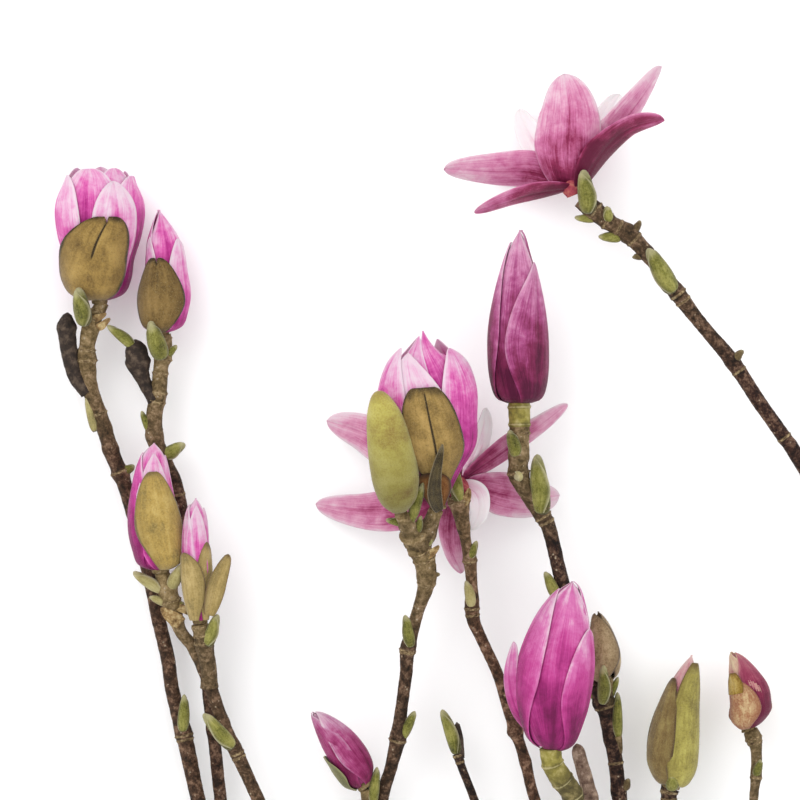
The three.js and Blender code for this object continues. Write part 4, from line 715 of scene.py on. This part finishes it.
def along(values, t):
    """Smoothed value at share t of equally spaced numbers."""
    values = np.asarray(values, float)
    place = np.clip(t, 0, 1) * (len(values) - 1)
    i = np.minimum(np.floor(place).astype(int), len(values) - 2)
    before, here, following, after = (values[np.clip(i + k, 0, len(values) - 1)] for k in (-1, 0, 1, 2))
    f = place - i
    f = f.reshape(f.shape + (1,) * (here.ndim - f.ndim))
    leave, arrive = (following - before) / 2, (after - here) / 2
    return ((2 * f ** 3 - 3 * f ** 2 + 1) * here + (f ** 3 - 2 * f ** 2 + f) * leave
            + (3 * f ** 2 - 2 * f ** 3) * following + (f ** 3 - f ** 2) * arrive)


def unit(vector):
    return vector / np.maximum(np.linalg.norm(vector, axis=-1, keepdims=True), 1e-9)


def circle(sides):
    return np.linspace(0, 2 * math.pi, sides, endpoint=False)


def turned(turn, reach, side, other):
    """Steps away from a line, by reach in the direction turn between side and other."""
    return (np.cos(turn) * reach)[..., None] * side + (np.sin(turn) * reach)[..., None] * other


def ripple(u, v, phase, waves=5):
    """A smooth random surface between about -1 and 1, the same each run."""
    local = np.random.default_rng(phase)
    total = 0.0
    for _ in range(waves):
        a, b, c = local.uniform(0.6, 3.2), local.uniform(0.6, 4.5), local.uniform(0, 2 * math.pi)
        total = total + np.sin(a * u * 2 + b * v * 3 + c)
    return total / waves


def bell(u, width):
    """A bell of this width around 0."""
    return np.exp(-(u / width) ** 2)


class Bud:
    """A round form on a bent line, with the blades that wrap it."""

    def __init__(self, root, tip, girth, bow=(0, 0, 0), depth=1.0, ease=1.0, blunt=True, tepals=(),
                 scales=()):
        self.start = np.array(root, float)
        self.run = np.array(tip, float) - self.start
        self.length = np.linalg.norm(self.run)
        up = self.run / self.length
        self.right = unit(np.cross(up, [0, 0, 1]))
        self.out = unit(np.cross(self.right, up))
        self.bow = np.array(bow, float)
        self.girth, self.depth, self.ease, self.blunt = girth, depth, ease, blunt
        self.tepals, self.scales = tepals, scales

    def radius(self, share):
        share = np.clip(share, 0, 1)
        radius = along(self.girth, share ** self.ease)
        return radius * np.sqrt(1 - share ** DOME) if self.blunt else radius

    def point(self, t, turn, radius):
        t, turn, radius = np.broadcast_arrays(t, turn, radius)
        return (self.start + t[..., None] * self.run + (4 * t * (1 - t))[..., None] * self.bow
                + (np.sin(turn) * radius)[..., None] * self.right
                + (np.cos(turn) * radius * self.depth)[..., None] * self.out)

    def rings(self, t, radius, sides):
        return self.point(t[:, None], circle(sides)[None, :], radius[:, None])


def rows_between(count):
    """Shares from 0 to 1, closer together at both ends."""
    x = np.linspace(0, 1, count)
    return 0.35 * x + 0.65 * (1 - np.cos(math.pi * x)) / 2


def red_tint(depth):
    """Puts a number for each point in the red channel of the tint."""
    return np.stack([depth.ravel(), 0 * depth.ravel(), 0 * depth.ravel()], axis=1)


def petal_tint(t, u, shade, seed):
    """How deep a tepal's colour is: deep at the root and midrib, pale at the rim and tip."""
    return red_tint(0.2 + 0.7 * (1 - t) ** 1.25 + 0.2 * bell(u, 0.07) * (1 - 0.4 * t)
                    - 0.34 * np.abs(u) ** 5 - 0.1 * t ** 4
                    + 0.13 * ripple(1.5 * u, 1.3 * t, seed + TINT_SEED) + shade)


def blade_width(t, point, root, top=0.0):
    taper = (1 - np.clip(t, 0, 1) ** point) ** 0.62
    return ((1 - top) * taper + top) * (root + (1 - root) * np.sin(np.minimum(t / 0.4, 1) * math.pi / 2))


def blade_uv(t, u):
    return np.stack([(u + 1) / 2, t], axis=-1).reshape(-1, 2)


def blade_half(thickness, u):
    """Half the thickness of a blade, which thins to half at its sides."""
    return thickness * (1 - 0.5 * np.abs(u) ** 6) / 2


def add_wrap(body, bud, spec, thickness, seed, rows=ROWS, columns=COLUMNS, petal=False):
    """A blade that lies round a bud."""
    line = np.linspace(-1, 1, columns)
    if spec.seam:
        line = np.sign(line) * np.abs(line) ** 1.6
    t, u = np.meshgrid(rows_between(rows), line, indexing="ij")
    share = spec.start + (spec.end - spec.start) * t ** 0.85
    radius = np.maximum(bud.radius(share) + spec.lift + spec.flare * t ** 2, 0.8)
    width = math.radians(spec.reach) * blade_width(t, spec.point, spec.root, spec.top)
    reach = np.maximum(width, LEAST_HALF / radius)
    share = share - spec.notch * t ** 3 * bell(u, 0.13)
    turn = math.radians(spec.turn) + reach * u + np.radians(spec.twist) * t + spec.skew * t ** 3
    fade = np.sin(np.pi * np.clip(t, 0, 1)) ** 0.5
    swell = (spec.tilt * u * fade - spec.keel * bell(u, 0.1) * fade
             + spec.edge * u ** 4 * fade + spec.wave * ripple(u, t, seed) * (0.3 + t))
    tint = petal_tint(t, u, spec.shade, seed) if petal else np.zeros((t.size, 3))
    if spec.seam:
        first, last = spec.seam
        split = bell(u, 0.04) * np.clip((t - first) / 0.12, 0, 1) * np.clip((last - t) / 0.05, 0, 1)
        swell = swell - 0.9 * split
        # The split mask goes to felt_paint, which paints the groove near-black as painted shade.
        tint = red_tint(split)
    radius = radius + swell
    half = blade_half(thickness, u)
    front = bud.point(share, turn, radius + half)
    back = bud.point(share, turn, np.maximum(radius - half, 0.2))
    add_sheet(body, front, back, blade_uv(t, u), tint)


def spine_points(spine, t):
    """Points and directions along a spine."""
    step = 1e-3
    ahead, behind = along(spine, np.minimum(t + step, 1)), along(spine, np.maximum(t - step, 0))
    return along(spine, t), unit(ahead - behind)


def add_blade(body, spec, thickness, seed, rows=ROWS, columns=COLUMNS, petal=False):
    """A blade on a spine of its own. A petal has its second paint on its inner side."""
    line = np.linspace(0, 1, rows)
    middle, tangent = spine_points(spec.spine, line)
    side = unit(np.cross(tangent, np.array(spec.facing, float)))
    face = unit(np.cross(side, tangent))
    width = np.maximum(spec.half * blade_width(line, spec.point, spec.claw), LEAST_HALF)
    bend = math.radians(spec.cup)
    t, u = np.meshgrid(line, np.linspace(-1, 1, columns), indexing="ij")
    radius = (2 * width / bend)[:, None]
    angle = bend * u / 2
    lift = (BLADE_WAVE * (ripple(u, t, seed) * (0.3 + t) + 0.8 * u ** 2 * np.sin(9 * t + seed))
            - BLADE_KEEL * bell(u, 0.1))

    def layer(offset):
        across = (np.sin(angle) * (radius - offset))[..., None] * side[:, None, :]
        rise = radius - np.cos(angle) * (radius - offset - lift)
        return middle[:, None, :] + across + rise[..., None] * face[:, None, :]

    half = blade_half(thickness, u)
    inner_up = spec.inner_up and petal
    tint = petal_tint(t, u, spec.shade, seed) if petal else np.zeros((t.size, 3))
    add_sheet(body, layer(half), layer(-half), blade_uv(t, u), tint,
              (int(inner_up), int(petal and not inner_up), 0))


def add_spindle(body, bud, sides=24, rows=30, share=1.0, first=0.0, top=1.0, lift=0.0):
    """A round closed body on a bud's line."""
    t = first + (top - first) * rows_between(rows)
    close = np.sqrt(np.clip(1 - (t / top) ** DOME, 0, 1)) if top < 1 else 1.0
    radius = np.maximum((bud.radius(t) * share + lift) * close, 0.15)
    add_loft(body, bud.rings(t, radius, sides), t, red_tint(0.6 * (1 - 0.5 * t)))


def carry_frame(tangents):
    """Two directions across a line, carried along it without twisting."""
    sides = [unit(np.cross(tangents[0], [0.13, 0.08, 1.0]))]
    for direction in tangents[1:]:
        last = sides[-1]
        sides.append(unit(last - direction * np.dot(last, direction)))
    return np.array(sides), np.cross(tangents, sides)


def route_line(route):
    """Evenly spaced points, directions, radii and distances along a twig."""
    dense = along(route, np.linspace(0, 1, 60 * len(route)))
    steps = np.linalg.norm(np.diff(dense[:, :3], axis=0), axis=1)
    length = np.concatenate([[0], np.cumsum(steps)])
    at = np.linspace(0, length[-1], max(4, int(length[-1] / TWIG_STEP)))
    line = np.stack([np.interp(at, length, dense[:, k]) for k in range(4)], axis=1)
    return line[:, :3], unit(np.gradient(line[:, :3], axis=0)), line[:, 3], at


def nearest(middle, spot):
    """Index of the point of a line that is closest to a spot in the same directions."""
    return int(np.argmin(np.linalg.norm(middle[:, :len(spot)] - spot, axis=1)))


def add_twig(body, route, scars, swellings, seed, tints, flare=0.3, dome=False):
    """A twig with knobbly nodes and ring scars; a dead one ends in a dome."""
    middle, tangent, radius, at = route_line(route)
    side, other = carry_frame(tangent)
    scar_mark = np.zeros(len(at))
    for spot in scars:
        band = bell(at - at[nearest(middle, spot)], SCAR_WIDTH)
        radius = radius * (1 + SCAR_SWELL * band)
        scar_mark = np.maximum(scar_mark, band)
    for spot in swellings:
        radius = radius * (1 + NODE_SWELL * bell(at - at[nearest(middle, spot)], NODE_WIDTH))
    radius = radius * (1 + flare * np.exp(-at / FLARE_LENGTH))
    if dome:
        radius = radius * np.sqrt(1 - (at / at[-1]) ** 24 * 0.98)
    around = circle(TWIG_SIDES)
    line = at[:, None]
    knobs = KNOBS * ripple(np.cos(around) * 1.5, line / 9.0, seed)
    grain = GRAIN * ripple(np.sin(around) * 3.0, line / 2.5, seed + 1)
    reach = radius[:, None] * (1 + knobs + grain)
    rings = middle[:, None, :] + turned(around, reach, side[:, None, :], other[:, None, :])
    rings[..., 2] = np.maximum(rings[..., 2], 0.02)
    root, tip, red = tints
    share = at / at[-1]
    young = root + (tip - root) * np.clip((share - YOUNG_FROM) / YOUNG_OVER, 0, 1)
    add_loft(body, rings, share, np.stack([young, scar_mark, np.full(len(at), red)], axis=1))
    return middle, tangent, radius


def add_collar(body, centre, direction, radius, seed, sides=36):
    """A thin torn ring of old scale bases that stands out on one side of a twig."""
    local = np.random.default_rng(seed)
    direction = unit(np.asarray(direction, float))
    side = unit(np.cross(direction, [0.2, 0.1, 1.0]))
    other = np.cross(direction, side)
    around = circle(sides)
    facing = math.copysign(math.pi / 2, other[2]) + local.uniform(-1.1, 1.1)
    stand = (0.5 + 0.5 * np.cos(around - facing)) ** 0.7
    ragged = 0.7 + 0.3 * np.sin(around * 3 + local.uniform(0, 6)) + local.normal(0, 0.16, sides)
    size = local.uniform(0.7, 1.3)
    loops = []
    for height, proud in COLLAR_PROFILE:
        rise = size * height * np.where(height > 0, ragged, 1.0)
        reach = radius * (0.97 + proud * (stand * 1.3 - 0.3)) + 0.02 * radius * np.sin(around * 5 + seed)
        loops.append(centre + rise[:, None] * direction + turned(around, reach, side, other))
    body.add(np.concatenate(loops), (quads(len(loops), sides, True, True),))


def hairs(name, piece, lean, nodes, slot, seed, density=2.5, length=0.55, width=0.04):
    """Short pale hairs that stand out of a felted piece and lean along it."""
    local = np.random.default_rng(seed)
    mesh = piece.data
    mesh.calc_loop_triangles()
    triangles = np.empty(len(mesh.loop_triangles) * 3, int)
    mesh.loop_triangles.foreach_get("vertices", triangles)
    triangles = triangles.reshape(-1, 3)
    points = np.empty(len(mesh.vertices) * 3)
    mesh.vertices.foreach_get("co", points)
    points = points.reshape(-1, 3) / MM + ORIGIN
    a, b, c = (points[triangles[:, k]] for k in range(3))
    normal = np.cross(b - a, c - a)
    area = np.linalg.norm(normal, axis=1)
    count = int(density * area.sum() / 2)
    chosen = local.choice(len(triangles), count, p=area / area.sum())
    s, t = local.random(count), local.random(count)
    over = s + t > 1
    s[over], t[over] = 1 - s[over], 1 - t[over]
    root = a[chosen] + s[:, None] * (b - a)[chosen] + t[:, None] * (c - a)[chosen]
    out = unit(normal[chosen])
    heading = unit(np.asarray(lean, float))
    slope = unit(heading - out * (out @ heading)[:, None])
    reach = length * local.uniform(0.5, 1.2, count)[:, None]
    stray = local.normal(0, HAIR_STRAY, (count, 3))
    tip = root + (out * HAIR_OUT + slope * HAIR_ALONG + stray) * reach
    across = unit(np.cross(out, slope))
    root = root - out * 0.1
    foot = root + across * width, root - across * width, root + slope * width * 1.6
    corners = np.stack([*foot, tip], axis=1)
    base = np.arange(count)[:, None] * 4
    body = Body()
    body.add(corners.reshape(-1, 3), [np.concatenate([base + k for k in TETRAHEDRON])])
    return body.build(name, [HAIR], nodes, slot, smooth=False)


# ------------------------------------------------------------------ wood


def add_cut_end(body):
    """The pale sawn face at the foot of the limb."""
    start, ahead = np.array(TWIGS["limb"][0], float), np.array(TWIGS["limb"][1], float)
    direction = unit(start[:3] - ahead[:3])
    side = unit(np.cross(direction, [0, 0, 1.0]))
    other = np.cross(direction, side)
    rings = np.array([start[:3] + direction * proud + start[3] * share * turned(circle(40), 1.0, side, other)
                      for share, proud in CUT_PROFILE])[:, ::-1]
    rings[..., 2] = np.maximum(rings[..., 2], 0.05)
    add_loft(body, rings, np.linspace(0, 1, len(rings)), np.zeros((len(rings), 3)))


def build_wood():
    roots = np.array(SIDE_BUDS, float)[:, :3]
    collars = Body()
    for number, (name, route) in enumerate(TWIGS.items()):
        low, high = np.min(route, axis=0)[:3] - 6, np.max(route, axis=0)[:3] + 6
        near = [root for root in roots if np.all(root > low) and np.all(root < high)]
        scars = RING_SCARS.get(name, [])
        body = Body()
        middle, tangent, radius = add_twig(body, route, scars, near, TWIG_SEED + number,
                                           TWIG_TINT.get(name, (0, 0, 0)), dome=name in OLD_WOOD)
        body.build(f"bark_{name}", [OLD_WOOD.get(name, BARK)], ["wood"], "bark")
        for k, spot in enumerate(scars):
            at = nearest(middle, spot)
            add_collar(collars, middle[at], tangent[at], radius[at] * 0.98, number * SCAR_SEEDS + k)
    collars.build("ring_scars", [SCAR], ["wood"], "bark")
    make("cut_end", [CUT_WOOD], ["wood"], "bark", add_cut_end)


def build_side_buds():
    paints = {kind: felt_paint(f"bud_{kind}", *skin, rim_width=0.26, rim_share=0.8)
              for kind, skin in BUD_SKINS.items()}
    collars = Body()
    for number, row in enumerate(SIDE_BUDS):
        root, tip, radius = np.array(row[:3], float), np.array(row[3:6], float), row[6]
        kind = BUD_KINDS.get(number + 1, "green")
        bow = rng.normal(0, 0.25, 3) * radius / 3
        bud = Bud(root, tip, [radius * share for share in SIDE_BUD_GIRTH], bow, ease=0.7)
        body = Body()
        add_spindle(body, bud, 20, 18, 0.9)
        scale = tepal(float(rng.uniform(-60, 60)), 118, 0.97, -0.02 * radius, 3.2, start=0.03, keel=0.0,
                      tilt=0.05 * radius, edge=0.04 * radius, wave=0.03 * radius)
        add_wrap(body, bud, scale, BUD_SCALE, BUD_SEED + number, 18, 17)
        piece = body.build(f"side_bud_{number + 1}", [paints[kind]], ["wood"], "bark")
        add_collar(collars, root + 0.1 * (tip - root), tip - root, radius * 0.74, COLLAR_SEED + number)
        if kind != "brown":
            hairs(f"bud_hair_{number + 1}", piece, tip - root, ["wood"], "bark", BUD_HAIR_SEED + number,
                  *BUD_HAIR)
    collars.build("bud_rings", [SCAR], ["wood"], "bark")


def build_necks():
    for number, (name, route) in enumerate(NECKS.items()):
        make(name + "_stalk", [NECK], [name], "green_neck", add_twig, route, NECK_SCARS[name], [],
             NECK_SEED + number, (0, 0, NECK_BROWN[name]), flare=0.0)


# ------------------------------------------------------------------ flowers


def add_receptacle(body, bud):
    """The short thick end of the stalk that closes a bloom's base."""
    t = np.linspace(-1.8, 3.0, 6) / bud.length
    radius = bud.girth[0] * np.array([0.9, 1.0, 1.02, 0.95, 0.8, 0.5])
    add_loft(body, bud.rings(t, radius, 24), np.linspace(0, 1, 6), np.full((6, 3), (0.7, 0.0, 0.0)))


def build_closed_blooms():
    for order, (name, form) in enumerate(BLOOMS.items()):
        bud = Bud(**form)
        seed = order * BLOOM_SEEDS
        if bud.tepals:
            skin = tepal_paint(f"tepal_{name}", TEPAL_SKINS[name], order * 1.7, *MOTTLED.get(name, ()))
            look = [skin], [f"tepals_{name}"], TEPAL_SLOTS.get(name, "tepal_pink")
            for k, spec in enumerate(bud.tepals):
                make(f"bloom_{name}_tepal_{k + 1}", *look, add_wrap, bud, spec, TEPAL, seed + k, petal=True)
            make(f"bloom_{name}_core", *look, add_spindle, bud, 36, 34, first=0.01,
                 top=CORE_TOP.get(name, USUAL_TOP), lift=CORE_LIFT.get(name, USUAL_LIFT))
        if name not in ("F", "G"):
            make(f"receptacle_{name}", [BARK], ["wood"], "bark", add_receptacle, bud)
        for k, spec in enumerate(bud.scales):
            own = f"{name}_{k + 1}"
            key = own if own in SCALE_SKINS else name
            fur = (bpy.data.materials.get(f"scale_{key}")
                   or felt_paint(f"scale_{key}", *SCALE_SKINS[key], seed=order * 2.3))
            node = "tepals_F2" if name == "F2" else f"perule_{name}_{min(k + 1, SCALE_NODES.get(name, 1))}"
            slot = SCALE_SLOTS.get(name, "brown_fur")
            piece = make(f"bloom_{name}_scale_{k + 1}", [fur], [node], slot, add_wrap, bud, spec, SCALE,
                         SCALE_SEED + seed + k, columns=SEAM_COLUMNS if spec.seam else COLUMNS)
            hairs(f"bloom_{name}_hair_{k + 1}", piece, bud.run, [node], slot, HAIR_SEED + seed + k)


def build_open_blooms():
    inner = tepal_paint("tepal_inner", INNER_SKIN, 0.0, 0.3, 0.2, deepen=0.86)
    for order, (name, blades) in enumerate(OPEN_BLOOMS.items()):
        skin = tepal_paint(f"tepal_{name}", TEPAL_SKINS[name], 20.0 + order)
        where = [f"tepals_{name}"], "tepal_dusty"
        for k, spec in enumerate(blades):
            make(f"bloom_{name}_tepal_{k + 1}", [skin, inner], *where, add_blade, spec, TEPAL,
                 OPEN_SEED + order * BLOOM_SEEDS + k, petal=True)
        make(f"bloom_{name}_heart", [HEART_RED], *where, add_spindle, Bud(**HEARTS[name]), 24, 12)


def build_loose_pieces():
    """The blades, scales and the green bud that lie outside the blooms' own rows."""
    material = bpy.data.materials
    make("bloom_G_loose_tepal", [material["tepal_G"], material["tepal_inner"]], ["tepals_G"],
         "tepal_magenta", add_blade, LOOSE_G, TEPAL, LOOSE_TEPAL_SEED, petal=True)
    bracts = Body()
    for k, spec in enumerate(PAPERY_BRACTS):
        add_blade(bracts, spec, TEPAL, BRACT_SEED + k, 16, 11)
    bracts.build("papery_bracts", [PAPERY], ["wood"], "bark")
    dark = felt_paint("dark_scale", *DARK_SCALE, seed=4.0, rim_share=0.7)
    for name, node, fur, spec in (("C2_open_scale", "open_scale_C2", material["scale_C2"], OPEN_SCALE_C2),
                                  ("D_inner_scale", "inner_scale_D", dark, INNER_SCALE_D)):
        where = [node], "brown_fur"
        piece = make(f"bloom_{name}", [fur], *where, add_blade, spec, SCALE, LOOSE_SCALE_SEED)
        lean = np.subtract(spec.spine[-1], spec.spine[0])
        hairs(f"bloom_{name}_hair", piece, lean, *where, LOOSE_HAIR_SEED)
    for name, skin, fur, slot, spec, seed in (
            ("D_base_scale", (*RUST_SCALE, 0.3, 9.0), "rust_scale", "brown_fur", RUST_BLADE, RUST_SEED),
            ("K_torn_scale", (*TORN_SCALE, 0.2, 6.0), "torn_scale", "cream_scale", TORN_BLADE, TORN_SEED)):
        make(f"bloom_{name}", [felt_paint(fur, *skin)], [f"perule_{name[0]}_1"], slot, add_wrap,
             Bud(**BLOOMS[name[0]]), spec, SCALE, seed)
    green = felt_paint("green_bud", *GREEN_SKIN, rim_width=0.06)
    where = ["green_bud_D"], "green_fur"
    bud = Bud(**GREEN_BUD_D)
    piece = make("green_bud", [green], *where, add_spindle, bud, 40, 44)
    hairs("green_bud_hair", piece, bud.run, *where, GREEN_HAIR_SEED)


# ------------------------------------------------------------------ floor, light and camera


def add_to_scene(name, data):
    made = bpy.data.objects.new(name, data)
    bpy.context.scene.collection.objects.link(made)
    return made


def build_stage():
    mesh = bpy.data.meshes.new("floor")
    corners = [(-FLOOR, -FLOOR, 0), (FLOOR, -FLOOR, 0), (FLOOR, FLOOR, 0), (-FLOOR, FLOOR, 0)]
    mesh.from_pydata(corners, [], [(0, 1, 2, 3)])
    paint = Paint("floor", 0.9, Specular_IOR_Level=0.1)
    mesh.materials.append(paint.colour(rgb("#fbfbfb", 1.0)))
    floor = add_to_scene("floor", mesh)

    world = bpy.data.worlds.new("studio")
    world.use_nodes = True
    sky = world.node_tree.nodes["Background"].inputs
    sky["Color"].default_value = (1, 1, 1, 1)
    sky["Strength"].default_value = SKY_STRENGTH
    bpy.context.scene.world = world
    centre = np.array([0.0, 0.1, 0.0])
    for name, offset, size, power in LAMPS:
        lamp = bpy.data.lights.new(name, "AREA")
        lamp.size = size
        lamp.energy = power
        holder = add_to_scene(name, lamp)
        place = centre + np.array(offset)
        holder.location = place
        holder.rotation_euler = Vector(centre - place).to_track_quat("-Z", "Y").to_euler()

    camera = bpy.data.cameras.new("camera")
    camera.lens = LENS
    camera.sensor_width = SENSOR
    camera.clip_end = 100.0
    holder = add_to_scene("camera", camera)
    distance = VIEW_WIDTH * MM * LENS / SENSOR
    holder.location = (-ORIGIN[0] * MM, -ORIGIN[1] * MM, VIEW_HEIGHT * MM + distance)
    bpy.context.scene.camera = holder
    bpy.context.scene.view_settings.view_transform = "Standard"


build_stage()
build_wood()
build_side_buds()
build_necks()
build_closed_blooms()
build_open_blooms()
build_loose_pieces()
